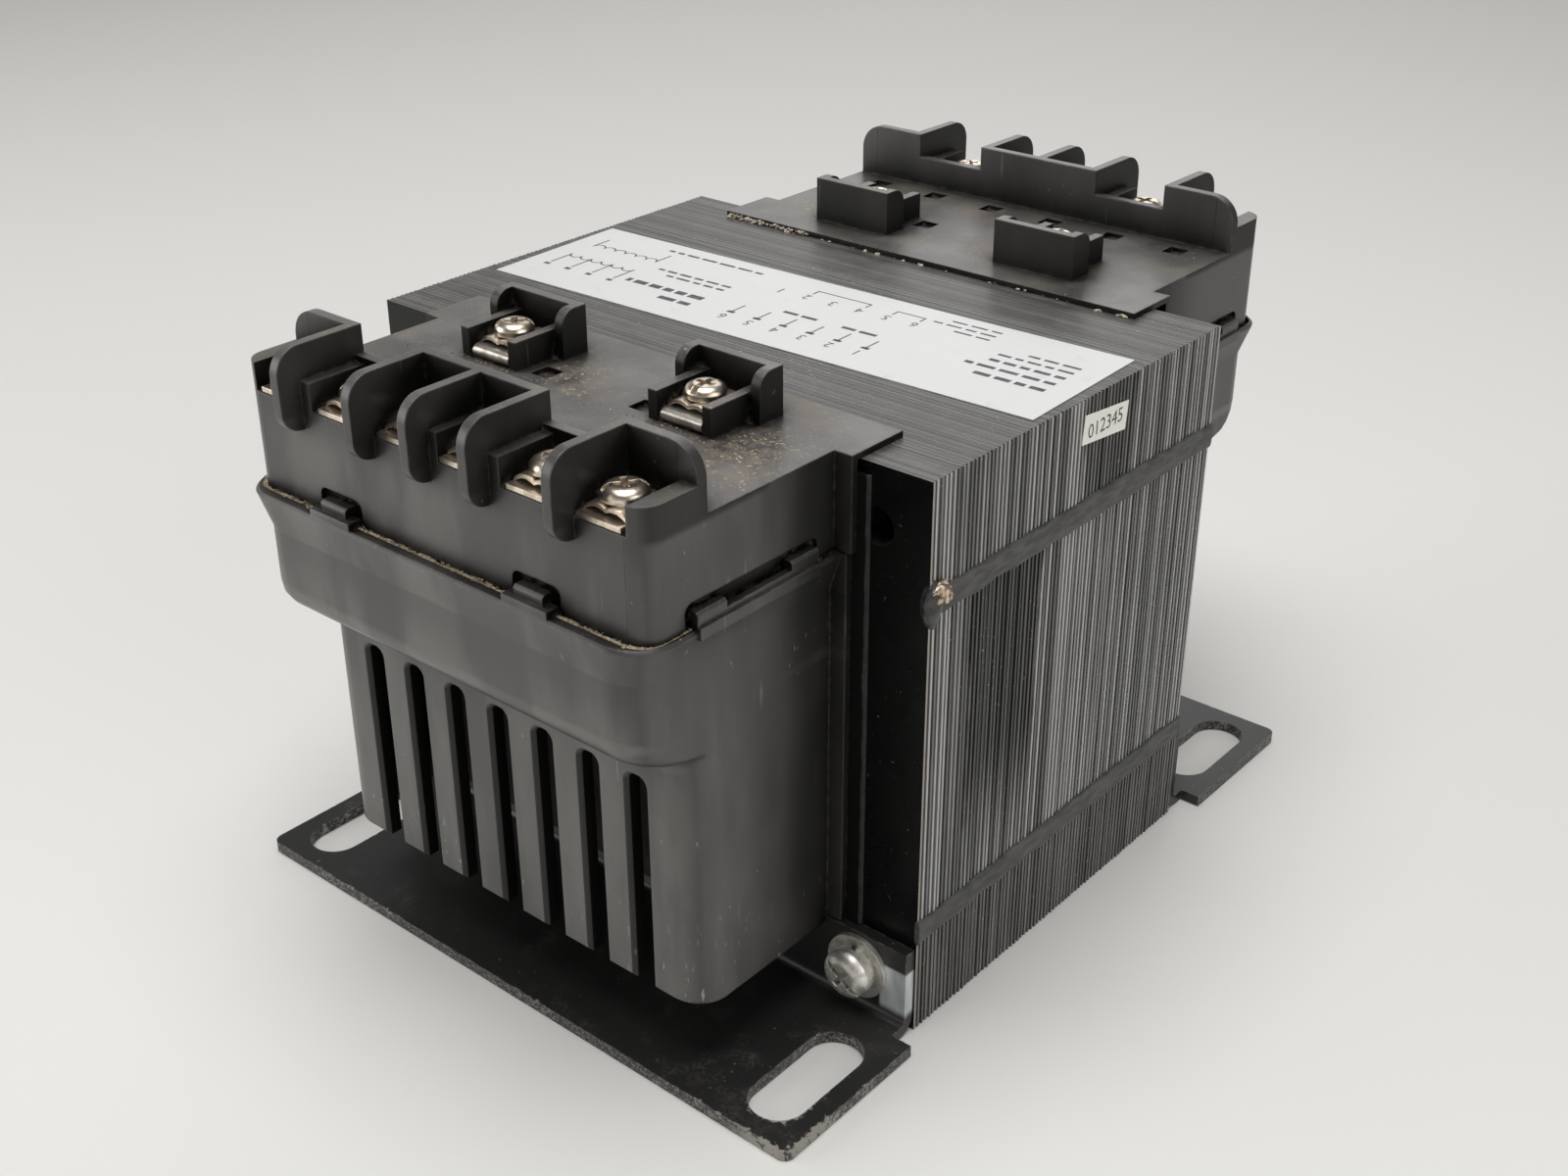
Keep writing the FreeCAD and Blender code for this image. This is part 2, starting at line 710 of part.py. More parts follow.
def saddle(x, reach, seat_z, width):
    """Clamp plate bent into two arches, with a valley under the screw head and tips on the seat."""
    half, saddle_crest = width / 2, saddle_crest_share * width / 2
    valley, arch, thick = seat_z + saddle_valley, seat_z + saddle_arch, saddle_thickness
    place = front(reach - saddle_length / 2)
    top, under = [], []
    for sign in (-1, 1):
        top.append([(sign * u, seat_z + z) for u, z in saddle_curve(width)])
        under.append([(sign * (half - thick / 2), seat_z), (sign * (saddle_crest - thick / 4), arch - thick),
                      (0, valley - thick)])
    def curve(points):
        return Part.Arc(*[place(Vector(x + u, z, 0)) for u, z in points]).toShape()
    def line(a, b):
        return Part.makeLine(place(Vector(x + a[0], a[1], 0)), place(Vector(x + b[0], b[1], 0)))
    edges = [curve(top[0]), curve(top[1][::-1]), line(top[1][0], under[1][0]),
             curve(under[1]), curve(under[0][::-1]), line(under[0][0], top[0][0])]
    plate = Part.Face(Part.Wire(Part.__sortEdges__(edges))).extrude(Vector(0, -saddle_length, 0))
    hole = upright_cylinder(x, reach, seat_z, seat_z + saddle_top(width),
                            screw_shank_diameter + 2 * screw_clearance)
    return plate.cut(hole)


def pan_head_screw(head_diameter, head_height, shank_diameter, shank_length, turn):
    """Screw along +Z, its head's bearing face at z = 0, with a slot crossed by a shorter one."""
    r, h = head_diameter / 2, head_height
    rim, flat = h * head_rim_share, r * head_flat_share
    bulge = math.radians(45)
    crown = Vector(flat + (r - flat) * math.cos(bulge), 0, rim + (h - rim) * math.sin(bulge))
    profile = [Part.makeLine(Vector(0, 0, 0), Vector(r, 0, 0)),
               Part.makeLine(Vector(r, 0, 0), Vector(r, 0, rim)),
               Part.Arc(Vector(r, 0, rim), crown, Vector(flat, 0, h)).toShape(),
               Part.makeLine(Vector(flat, 0, h), Vector(0, 0, h)),
               Part.makeLine(Vector(0, 0, h), Vector(0, 0, 0))]
    head = Part.Face(Part.Wire(profile)).revolve(Vector(0, 0, 0), Vector(0, 0, 1), 360)
    slot = Part.makeBox(head_diameter, drive_slot_width, drive_slot_depth,
                        Vector(-r, -drive_slot_width / 2, h - drive_slot_depth))
    cross = Part.makeBox(drive_slot_width, r, drive_slot_depth,
                         Vector(-drive_slot_width / 2, -r / 2, h - drive_slot_depth))
    shank = Part.makeCylinder(shank_diameter / 2, shank_length, Vector(0, 0, -shank_length))
    screw = fuse([head.cut(slot.fuse(cross)), shank])
    screw.rotate(Vector(0, 0, 0), Vector(0, 0, 1), turn)
    return screw


def terminal_screws():
    screws = []
    seat_z = saddle_seat_z + saddle_top(saddle_width) + screw_seat_gap
    for index, x in enumerate(terminal_xs):
        screw = pan_head_screw(screw_head_diameter, screw_head_height, screw_shank_diameter,
                               screw_shank_length, index * screw_turn_step)
        screw.translate(Vector(x, -(core_face + terminal_reach), seat_z))
        screws.append(screw)
    return screws


def strip_terminals():
    """Tinned strip folded back over itself, its fold at the holder's open front."""
    strips = []
    back = -holder_set_back + holder_wall + strip_clearance
    tip, top = holder_cheek_reach - strip_clearance, deck_z + strip_height
    inner_top, inner_low = top - strip_thickness, deck_z + strip_thickness
    fold = strip_height / 2 - tangent_trim
    inner_fold = fold - strip_thickness
    corners = [(back, deck_z, 0), (tip, deck_z, fold), (tip, top, fold), (back, top, 0), (back, inner_top, 0),
               (tip - strip_thickness, inner_top, inner_fold), (tip - strip_thickness, inner_low, inner_fold),
               (back, inner_low, 0)]
    for x in holder_xs:
        strip = prism(corners, side(x - strip_width / 2), Vector(strip_width, 0, 0))
        hole = upright_cylinder(x, strip_screw_reach, deck_z, top, screw_shank_diameter + 2 * screw_clearance)
        strips.append(strip.cut(hole))
    return strips


def strip_screws():
    screws = []
    seat_z = deck_z + strip_height + saddle_top(strip_width) + screw_seat_gap
    for index, x in enumerate(holder_xs):
        screw = pan_head_screw(strip_head_diameter, screw_head_height, screw_shank_diameter,
                               screw_shank_length, (index + 1) * screw_turn_step)
        screw.translate(Vector(x, -(core_face + strip_screw_reach), seat_z))
        screws.append(screw)
    return screws


def leads(stand_off):
    """Wires up the face of the coil, out under the deck and up beside each terminal's tail."""
    radius = lead_diameter / 2
    coil_reach = coil_build + radius
    tail_side = plate_start + stand_off - radius
    low, high = coil_z1 - lead_start_below, deck_z - tail_length + lead_lap
    bend_z = coil_z1 + lead_rise
    wires = []
    for x in terminal_xs:
        corners = [(coil_reach, low), (coil_reach, bend_z),
                   (tail_side, high - lead_lap - lead_rise), (tail_side, high)]
        wires.append(tube(corners, x, lead_diameter))
    return wires


def tube(corners, x, diameter):
    """Round wire along straight runs joined by tangent arcs, on the upright plane at x."""
    points = [Vector(x, -(core_face + reach), z) for reach, z in corners]
    lengths, last = [], points[0]
    for before, here, after in zip(points, points[1:], points[2:]):
        back, ahead = before - here, after - here
        run = lead_bend_share * min(back.Length, ahead.Length)
        back, ahead = back.normalize(), ahead.normalize()
        half_angle = back.getAngle(ahead) / 2
        start = here + back * run
        centre = here + (back + ahead).normalize() * (run / math.cos(half_angle))
        turn = 180 - math.degrees(2 * half_angle)
        section = Part.Face(Part.Wire(Part.makeCircle(diameter / 2, start, back)))
        lengths.append(Part.makeCylinder(diameter / 2, last.distanceToPoint(start), last, back * -1))
        lengths.append(section.revolve(centre, ahead.cross(back), turn))
        last = here + ahead * run
    lengths.append(Part.makeCylinder(diameter / 2, last.distanceToPoint(points[-1]), last, points[-1] - last))
    return fuse(lengths)


def foot():
    plate = prism([(0, foot_flange_height, 0), (0, 0, foot_bend_radius + foot_thickness), (foot_reach, 0, 0),
                   (foot_reach, foot_thickness, 0), (foot_thickness, foot_thickness, foot_bend_radius),
                   (foot_thickness, foot_flange_height, 0)], side(-foot_half_length),
                  Vector(2 * foot_half_length, 0, 0))
    tools = []
    for left in (-foot_half_length, foot_flange_half_length):
        tools.append(block(left, left + foot_tip_length, 0, foot_relief, 0, foot_flange_height))
    for x in (-slot_x, slot_x):
        half, run = slot_width / 2, slot_length / 2
        radius = half - tangent_trim
        corners = [(x - half, slot_reach - run, radius), (x + half, slot_reach - run, radius),
                   (x + half, slot_reach + run, radius), (x - half, slot_reach + run, radius)]
        tools.append(prism(corners, plan(0), Vector(0, 0, foot_thickness)))
    for x in (-hole_x, hole_x):
        tools.append(Part.makeCylinder(core_hole_diameter / 2, foot_thickness,
                                       Vector(x, -core_face - foot_thickness, low_hole_z), Vector(0, 1, 0)))
    outer = prism([(-foot_half_length, 0, 0), (-foot_half_length, foot_reach, foot_corner_radius),
                   (foot_half_length, foot_reach, foot_corner_radius), (foot_half_length, 0, 0)], plan(0),
                  Vector(0, 0, foot_flange_height))
    return cut(plate.common(outer), tools)


washer_start = core_face + foot_thickness
spring_start = washer_start + flat_washer_thickness
bolt_bearing = spring_start + spring_washer_thickness


def washer(outer, thickness, start, x):
    """Flat ring on a core bolt, start being its distance from the middle of the stack."""
    at, along = Vector(x, -start, low_hole_z), Vector(0, -1, 0)
    hole = Part.makeCylinder(bolt_diameter / 2 + washer_clearance, thickness, at, along)
    return Part.makeCylinder(outer / 2, thickness, at, along).cut(hole)


def both_ends(make):
    pieces = [make(x) for x in (-hole_x, hole_x)]
    return pieces + [mirrored(piece) for piece in pieces]


def flat_washer(x):
    return washer(flat_washer_diameter, flat_washer_thickness, washer_start, x)


def spring_washer(x):
    """Split ring, its gap cut on a slant."""
    middle = Vector(x, -spring_start - spring_washer_thickness / 2, low_hole_z)
    corner = middle - Vector(spring_washer_gap / 2, spring_washer_thickness, 0)
    split = Part.makeBox(spring_washer_gap, 2 * spring_washer_thickness, spring_washer_diameter, corner)
    split.rotate(middle, Vector(0, 0, 1), spring_washer_slant)
    return washer(spring_washer_diameter, spring_washer_thickness, spring_start, x).cut(split)


def core_bolts():
    bolts = []
    length = 2 * bolt_bearing + nut_height + bolt_tip
    for index, x in enumerate((-hole_x, hole_x)):
        bolt = pan_head_screw(bolt_head_diameter, bolt_head_height, bolt_diameter, length, bolt_turns[index])
        bolt.rotate(Vector(0, 0, 0), Vector(1, 0, 0), 90)
        bolt.translate(Vector(x, -bolt_bearing, low_hole_z))
        bolts.append(bolt)
    return bolts


def nuts():
    pieces = []
    for x in (-hole_x, hole_x):
        corner_reach = nut_width / math.sqrt(3)
        corners = [(corner_reach * math.cos(i * math.pi / 3), corner_reach * math.sin(i * math.pi / 3), 0)
                   for i in range(6)]
        nut = prism(corners, lambda p: Vector(x + p.x, bolt_bearing, low_hole_z + p.y),
                    Vector(0, nut_height, 0))
        hole = Part.makeCylinder(bolt_diameter / 2 + thread_clearance, nut_height,
                                 Vector(x, bolt_bearing, low_hole_z), Vector(0, 1, 0))
        pieces.append(nut.cut(hole))
    return pieces


def rating_label():
    label_length = 2 * (core_half_width - label_end_margin)
    sheet = Part.makeBox(label_length, label_width, label_thickness,
                         Vector(-label_length / 2, -label_width / 2, core_top))
    sheet.rotate(Vector(0, 0, 0), Vector(0, 0, 1), label_turn)
    return sheet


def side_label():
    z = core_top - sticker_below_top
    sheet = Part.makeBox(label_thickness, sticker_length, sticker_height,
                         Vector(core_half_width, sticker_offset - sticker_length / 2, z - sticker_height / 2))
    sheet.rotate(Vector(core_half_width, sticker_offset, z), Vector(1, 0, 0), -sticker_turn)
    return sheet


ends = {
    "coil_cover": [end_cover()],
    "terminal_block": [terminal_block()],
    "terminal_plates": terminal_plates(),
    "saddle_clamps": [saddle(x, terminal_reach, saddle_seat_z, saddle_width) for x in terminal_xs],
    "terminal_screws": terminal_screws(),
    "holder_terminals": strip_terminals(),
    "holder_saddles": [saddle(x, strip_screw_reach, deck_z + strip_height, strip_width) for x in holder_xs],
    "holder_screws": strip_screws(),
}
pieces = {
    "core_e_stack": [core_e_stack()],
    "core_i_stack": [core_i_stack()],
    "upper_weld_beads": weld_beads(joint_z),
    "lower_weld_beads": weld_beads(yoke_top),
    "coil_bobbin": [coil_bobbin()],
    "primary_winding": [winding(primary_inner, primary_thickness)],
    "interwinding_insulation": [winding(insulation_inner, insulation_thickness)],
    "secondary_winding": [winding(secondary_inner, secondary_thickness)],
    "coil_outer_wrap": [winding(wrap_inner, wrap_thickness)],
    "core_bolts": core_bolts(),
    "flat_washers": both_ends(flat_washer),
    "spring_washers": both_ends(spring_washer),
    "core_bolt_nuts": nuts(),
    "rating_label": [rating_label()],
    "side_label": [side_label()],
}
for name, solids in ends.items():
    pieces["front_" + name] = solids
    pieces["rear_" + name] = [stood_off(solid) for solid in solids]
for name, front_solids, rear_solids in (("core_liner", [core_liner()], [core_liner()]),
                                        ("foot", [foot()], [foot()]),
                                        ("lead_wires", leads(0), leads(rear_stand_off))):
    pieces["front_" + name] = front_solids
    pieces["rear_" + name] = [mirrored(solid) for solid in rear_solids]

os.makedirs("parts", exist_ok=True)
for name, solids in pieces.items():
    shape = solids[0] if len(solids) == 1 else Part.makeCompound(solids)
    shape.exportStep("parts/%s.step" % name)
    print(name, len(shape.Solids), "solids, valid" if shape.isValid() else "solids, NOT VALID")
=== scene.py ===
# %% [markdown]
# # A control transformer
# A welded stack of steel sheets carries a coil inside two moulded covers, two screw terminal blocks and
# two painted feet. The engineering model is loaded as a fixed frame. This lesson dresses it: it models the
# single sheets, rounds the moulded edges, lays weld beads, dust and print on it, and mixes a finish for
# every surface. Blender works in metres, so every length below is written in millimetres times MM.

# %% Load the frame
import bpy
import math
import random
from mathutils import Matrix, Vector, noise


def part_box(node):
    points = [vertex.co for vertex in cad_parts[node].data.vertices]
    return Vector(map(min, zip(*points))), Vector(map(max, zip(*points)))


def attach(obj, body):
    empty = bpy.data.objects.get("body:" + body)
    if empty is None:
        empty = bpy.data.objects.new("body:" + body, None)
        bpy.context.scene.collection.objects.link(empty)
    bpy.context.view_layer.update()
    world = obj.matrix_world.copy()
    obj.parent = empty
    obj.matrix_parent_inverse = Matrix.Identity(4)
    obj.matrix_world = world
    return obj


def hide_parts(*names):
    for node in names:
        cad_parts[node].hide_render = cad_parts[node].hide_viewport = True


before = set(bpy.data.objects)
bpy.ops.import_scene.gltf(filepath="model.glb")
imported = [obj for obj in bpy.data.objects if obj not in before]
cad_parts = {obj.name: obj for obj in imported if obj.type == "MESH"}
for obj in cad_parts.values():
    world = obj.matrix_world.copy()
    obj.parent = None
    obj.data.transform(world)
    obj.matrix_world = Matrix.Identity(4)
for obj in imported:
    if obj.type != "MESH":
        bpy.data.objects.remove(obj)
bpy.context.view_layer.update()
MM = 0.001

# %% [markdown]
# An operator acts on all that is selected, so before one runs, its piece is made the only selected one. The
# other helpers make a box or a rod between two points, apply a modifier, join parts and dress a finished
# piece.

# %% Small modelling helpers
def only(piece):
    """Make one object the selected and active one."""
    if bpy.context.object and bpy.context.object.mode != "OBJECT":
        bpy.ops.object.mode_set(mode="OBJECT")
    bpy.ops.object.select_all(action="DESELECT")
    piece.select_set(True)
    bpy.context.view_layer.objects.active = piece
    return piece


def settle(piece):
    """Apply place, turn and size, so that the object sits at the origin."""
    only(piece)
    bpy.ops.object.transform_apply(location=True, rotation=True, scale=True)
    return piece


def modify(piece, kind, **settings):
    """Add a modifier, set it and apply it."""
    only(piece)
    modifier = piece.modifiers.new(kind.lower(), kind)
    for name, value in settings.items():
        setattr(modifier, name, value)
    bpy.ops.object.modifier_apply(modifier=modifier.name)
    return piece


def box_piece(name, low, high):
    """A cube primitive stretched between two corners."""
    bpy.ops.mesh.primitive_cube_add(size=1, location=(Vector(low) + Vector(high)) / 2)
    piece = bpy.context.object
    piece.name = name
    piece.scale = Vector(high) - Vector(low)
    return settle(piece)


def rod_piece(name, radius, start, stop, sides=24):
    """A cylinder primitive between two points."""
    start, stop = Vector(start), Vector(stop)
    bpy.ops.mesh.primitive_cylinder_add(vertices=sides, radius=radius, depth=(stop - start).length)
    piece = bpy.context.object
    piece.name = name
    piece.matrix_world = Matrix.Translation((start + stop) / 2) @ (
        (stop - start).to_track_quat("Z", "Y").to_matrix().to_4x4())
    return settle(piece)


def joined(name, parts):
    """Several objects joined to one piece."""
    only(parts[0])
    for part in parts:
        part.select_set(True)
    bpy.ops.object.join()
    parts[0].name = name
    return parts[0]


def dress(piece, finish):
    """Give a new piece its finish and the body it rides on."""
    piece.data.materials.clear()
    piece.data.materials.append(finish)
    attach(piece, "root")
    return piece


print("modelling helpers ready")

# %% [markdown]
# ## The camera and the light
# The camera stands where the photograph's camera stood, worked out from the corners of the core and of the
# terminal blocks. It looks down by 28 degrees, so the pale floor fills the whole picture.

# %% Camera
azimuth = math.radians(40.29)
elevation = math.radians(28.0)
roll = math.radians(-0.167)
camera_place = Vector((226.79, -271.33, 238.89)) * MM
focal_length_pixels = 1965.1
image_width_pixels = 1600

camera_data = bpy.data.cameras.new("camera")
camera_data.sensor_width = 36
camera_data.lens = focal_length_pixels / image_width_pixels * camera_data.sensor_width
camera_data.clip_start = 0.01
camera = bpy.data.objects.new("camera", camera_data)
bpy.context.scene.collection.objects.link(camera)
camera.matrix_world = (Matrix.Translation(camera_place) @ Matrix.Rotation(azimuth, 4, "Z")
                       @ Matrix.Rotation(math.pi / 2 - elevation, 4, "X") @ Matrix.Rotation(roll, 4, "Z"))
bpy.context.scene.camera = camera
bpy.context.scene.view_settings.view_transform = "Standard"
print("lens", round(camera_data.lens, 2), "mm")

# %% [markdown]
# One large soft lamp overhead lights the tops, and the pale floor throws its light back up at the walls. A
# broad panel behind is mirrored in the flat tops, one at the left front lifts the vented wall, one at the
# right lights the core's side, and a dim world fills in. Disks are used because their soft shadows have no
# corners.

# %% Light and floor
def soft_lamp(name, place, target, size, power):
    lamp = bpy.data.lights.new(name, "AREA")
    lamp.shape = "DISK"
    lamp.size = size
    lamp.energy = power
    lamp_object = bpy.data.objects.new(name, lamp)
    lamp_object.location = place
    lamp_object.rotation_euler = (Vector(target) - Vector(place)).to_track_quat("-Z", "Y").to_euler()
    bpy.context.scene.collection.objects.link(lamp_object)


middle = Vector((0, 0, 0.06))
soft_lamp("top_lamp", (0.02, -0.12, 1.2), middle, 1.0, 12.5)
soft_lamp("front_lamp", (-0.95, -0.85, 0.45), middle, 0.9, 5.5)
soft_lamp("back_lamp", (-0.72, 1.20, 0.85), middle, 1.0, 3.3)
soft_lamp("side_lamp", (1.20, -0.10, 0.55), middle, 1.0, 4.4)

world = bpy.data.worlds.new("pale_room")
bpy.context.scene.world = world
world.use_nodes = True
room_light = world.node_tree.nodes["Background"]
room_light.inputs["Color"].default_value = (0.95, 0.95, 0.93, 1)
room_light.inputs["Strength"].default_value = 0.10

floor_gap = 0.1 * MM
bpy.ops.mesh.primitive_plane_add(size=8, location=(0, 0, -floor_gap))
floor = settle(bpy.context.object)
floor.name = "floor"
print("lamps:", [lamp.name for lamp in bpy.data.lights])

# %% [markdown]
# ## Finishes as sums
# A finish is easier to read as a sum than as a pile of nodes. A Channel wraps one socket, and adding,
# multiplying or comparing channels adds the Math nodes behind the scenes. A Shading owns a tree and makes
# every other node, and a Finish is the Shading of a material.

# %% Channels
class Channel:
    """One output socket of a shader tree, usable in sums."""

    def __init__(self, shading, socket):
        self.shading = shading
        self.socket = socket

    def math(self, operation, *others):
        values = dict(enumerate((self,) + others))
        return self.shading.node("ShaderNodeMath", {"operation": operation}, values)

    def __add__(self, other):
        return self.math("ADD", other)

    def __sub__(self, other):
        return self.math("SUBTRACT", other)

    def __rsub__(self, other):
        return self.shading.node("ShaderNodeMath", {"operation": "SUBTRACT"}, {0: other, 1: self})

    def __mul__(self, other):
        return self.math("MULTIPLY", other)

    def __truediv__(self, other):
        return self.math("DIVIDE", other)

    __radd__ = __add__
    __rmul__ = __mul__

    def __abs__(self):
        return self.math("ABSOLUTE")

    def least(self, other):
        return self.math("MINIMUM", other)

    def most(self, other):
        return self.math("MAXIMUM", other)

    def part(self, axis):
        """One of a vector's three numbers."""
        return self.shading.node("ShaderNodeSeparateXYZ", {}, {0: self}, "XYZ".index(axis))

    def rise(self, start, end):
        """Zero up to start, one from end on, a smooth step between. It falls if start is above end."""
        values = {0: self, 1: start, 2: end, 3: 0.0, 4: 1.0}
        return self.shading.node("ShaderNodeMapRange", {"interpolation_type": "SMOOTHSTEP"}, values)


print("channels ready")


# %% Shadings and finishes
class Shading:
    """A tree of shader nodes in the making."""

    def __init__(self, tree):
        self.tree = tree

    def node(self, kind, settings, inputs, output=0):
        """Any node: its settings first, then the values or channels of its sockets."""
        made = self.tree.nodes.new(kind)
        for name, value in settings.items():
            setattr(made, name, value)
        for key, value in inputs.items():
            if isinstance(value, Channel):
                self.tree.links.new(value.socket, made.inputs[key])
            else:
                made.inputs[key].default_value = value
        return Channel(self, made.outputs[output])

    def mix_surfaces(self, factor, first, second, output):
        """Send a mix of two shaders to the tree's output: first where factor is 0, second where it is 1."""
        mixed = self.node("ShaderNodeMixShader", {}, {0: factor, 1: first, 2: second})
        self.tree.links.new(mixed.socket, self.tree.nodes[output].inputs["Surface"])


class Finish(Shading):
    """A material in the making, with the Principled shader at its end."""

    def __init__(self, name, roughness=0.5, metallic=0.0, **constants):
        self.material = bpy.data.materials.new(name)
        self.material.use_nodes = True
        super().__init__(self.material.node_tree)
        self.shader = self.tree.nodes["Principled BSDF"]
        self.surface = Channel(self, self.shader.outputs[0])
        self.shader.inputs["Roughness"].default_value = roughness
        self.shader.inputs["Metallic"].default_value = metallic
        for socket, value in constants.items():
            self.shader.inputs[socket.replace("_", " ")].default_value = value
        self.place = self.node("ShaderNodeTexCoord", {}, {}, "Object")
        self.normal = self.node("ShaderNodeNewGeometry", {}, {}, "Normal")

    def stretched(self, x, y, z):
        """Places scaled by a number of features per millimetre along each axis."""
        return self.node("ShaderNodeVectorMath", {"operation": "MULTIPLY"},
                         {0: self.place, 1: (x / MM, y / MM, z / MM)})

    def noise(self, per_mm, detail=3.0, roughness=0.55, stretch=(1, 1, 1)):
        where = self.stretched(*[per_mm * share for share in stretch])
        return self.node("ShaderNodeTexNoise", {}, {"Vector": where, "Scale": 1.0, "Detail": detail,
                                                    "Roughness": roughness})

    def distance_from(self, x, y):
        """Level distance from an upright line at X and Y, all in millimetres."""
        east, north = self.place.part("X") / MM - x, self.place.part("Y") / MM - y
        return (east * east + north * north).math("SQRT")

    def corners(self, reach):
        """One in narrow corners within this reach, zero on open faces."""
        occlusion = self.node("ShaderNodeAmbientOcclusion", {"samples": 6}, {"Distance": reach}, "AO")
        return 1 - occlusion

    def edges(self, radius):
        """One on sharp outer and inner edges, zero on open faces."""
        normals = {0: self.node("ShaderNodeBevel", {"samples": 4}, {"Radius": radius}), 1: self.normal}
        return 1 - self.node("ShaderNodeVectorMath", {"operation": "DOT_PRODUCT"}, normals, 1)

    def blend(self, factor, first, second):
        """Colour mix: first where factor is 0, second where it is 1."""
        def value(colour):
            return colour if isinstance(colour, Channel) else (*colour, 1.0)
        values = {0: factor, 6: value(first), 7: value(second)}
        return self.node("ShaderNodeMix", {"data_type": "RGBA"}, values, 2)

    def feed(self, **channels):
        """Link channels to the shader's sockets."""
        for socket, channel in channels.items():
            self.tree.links.new(channel.socket, self.shader.inputs[socket.replace("_", " ")])
        return self

    def shade(self, factor):
        """Hide the shader behind a dull black one, as in a deep narrow place that gives no light back."""
        dull = self.node("ShaderNodeBsdfPrincipled", {}, {
            "Base Color": (0.004, 0.0038, 0.0036, 1), "Roughness": 1.0, "Specular IOR Level": 0.0})
        self.mix_surfaces(factor, self.surface, dull, "Material Output")
        return self

    def bump(self, height, distance, strength=1.0, edge=0.0):
        """Bump from a height channel, over edges rounded by the given radius."""
        values = {"Height": height, "Distance": distance, "Strength": strength}
        if edge:
            values["Normal"] = self.node("ShaderNodeBevel", {"samples": 4}, {"Radius": edge})
        return self.feed(Normal=self.node("ShaderNodeBump", {}, values))


print("finish kit ready")

# %% [markdown]
# The floor is pale paper. Seen from low down, it would end in a dark room, because the lamps light only its
# middle. A bent sheet of paper would catch light and throw it back at the object. So a plain pale tone takes
# over far from the object and stands a little way up behind it, and only the camera and mirroring surfaces
# see it.

# %% Floor and pale backdrop
backdrop_tone = (0.62, 0.615, 0.60, 1)
tone_start, tone_end = 900, 2200
sky_start, sky_end = 0.30, 0.42


def show_backdrop(shading, surface, share, tone_kind, output):
    """Let the plain tone take over by share, for the rays of the camera, of gloss and of glass."""
    camera_ray, glossy_ray, glass_ray = [
        shading.node("ShaderNodeLightPath", {}, {}, "Is " + ray + " Ray")
        for ray in ("Camera", "Glossy", "Transmission")]
    seen = camera_ray.most(glossy_ray).most(glass_ray)
    tone = shading.node(tone_kind, {}, {"Color": backdrop_tone})
    shading.mix_surfaces(seen * share, surface, tone, output)


paper = Finish("floor_paper", roughness=0.75, Base_Color=(0.76, 0.75, 0.72, 1))
far_away = paper.distance_from(0, 0).rise(tone_start, tone_end)
show_backdrop(paper, paper.surface, far_away, "ShaderNodeEmission", "Material Output")
floor.data.materials.append(paper.material)

room = Shading(world.node_tree)
rise_of_sight = room.node("ShaderNodeTexCoord", {}, {}, "Generated").part("Z")
show_backdrop(room, Channel(room, room_light.outputs[0]), rise_of_sight.rise(sky_end, sky_start),
              "ShaderNodeBackground", "World Output")
print("backdrop starts", tone_start, "mm away")

# %% [markdown]
# ## Moulded plastic
# The covers and blocks are dark grey nylon. It is nearly black where nothing bright is mirrored in it, and
# painted mid grey where it faces the light, as painted sheen. An image could carry all that, but channels of
# noise stay sharp at any size and follow the shape, so the finish is built up in layers: tone, painted sheen,
# scratches, edges paler from wear and painted highlight, painted shade in unlit hollows, and dust.

# %% Heights on the mouldings and places where dust lies, in millimetres
collar_foot = 75.0
kink_height = 86.5
fin_foot = 110.5
deck_height = 113.0
vent_top = 66.0
vent_reach = 42.0
dust_brown = (0.23, 0.185, 0.13)
dust_pale = (0.42, 0.36, 0.27)
dusty_on_cover = ((0, 0, 30),)
dusty_on_block = ((36, -56, 13), (42, -66, 9), (-9, -52, 8), (-2, -57, 5), (14, -49, 4), (-36, 54, 10),
                  (10, 52, 9))
print("dust lies thicker at", len(dusty_on_block), "places of the blocks")


# %% Layers of the plastic
def painted_sheen(finish, height, up):
    """The share of painted sheen: on walls that face front or aside and on tops, in slow upright clouds."""
    flow = finish.noise(0.07, detail=4, stretch=(1, 1, 0.25)).rise(0.35, 0.68)
    # Painted shade: a darker band below the collar's kink.
    under_kink = height.rise(collar_foot + 1.0, kink_height - 1.5)
    under_kink = under_kink * (1 - height.rise(kink_height, kink_height + 0.6))
    # Painted highlight: a pale line where the collar turns in at its foot.
    turned_in = abs(height - collar_foot).rise(1.6, 0.3)
    # Less painted sheen on the fins above the deck.
    above_deck = height.rise(deck_height - 9.0, deck_height)
    front = finish.normal.part("Y").rise(-0.55, -0.95)
    front = front * (1 - under_kink * 0.5 - above_deck * 0.7) + turned_in * 0.8
    aside = finish.normal.part("X").rise(0.5, 0.95) * (1 - (finish.place.part("Y") / MM).rise(-62.0, -52.0))
    return front.most(up.rise(0.6, 0.95) * 0.8).most(aside * 0.7) * (0.25 + flow * 0.75)


def unlit_share(finish, height, up):
    """One in hollows, inside the vents, close to the core and between the fins."""
    hollow = finish.corners(13 * MM).rise(0.12, 0.50)
    away = abs(finish.place.part("Y")) / MM
    side = abs(finish.normal.part("X")).rise(0.5, 0.9)
    between_vents = 1 - (abs(finish.place.part("X")) / MM).rise(vent_reach - 1.0, vent_reach)
    vent_side = side * (1 - height.rise(vent_top - 4.0, vent_top)) * between_vents
    near_core = away.rise(74.0, 53.0) * (1 - up.rise(0.4, 0.8)) * 0.55
    fin_side = side * height.rise(fin_foot, fin_foot + 1.5) * away.rise(62.0, 66.0) * 0.6
    return hollow.most(vent_side * 0.95).most(near_core).most(fin_side)


def near_places(finish, places):
    """One near the given places, each with X, Y and a reach."""
    total = 0.0
    for x, y, reach in places:
        total = finish.distance_from(x, y).rise(reach, reach * 0.25) + total
    return total.least(1.0)


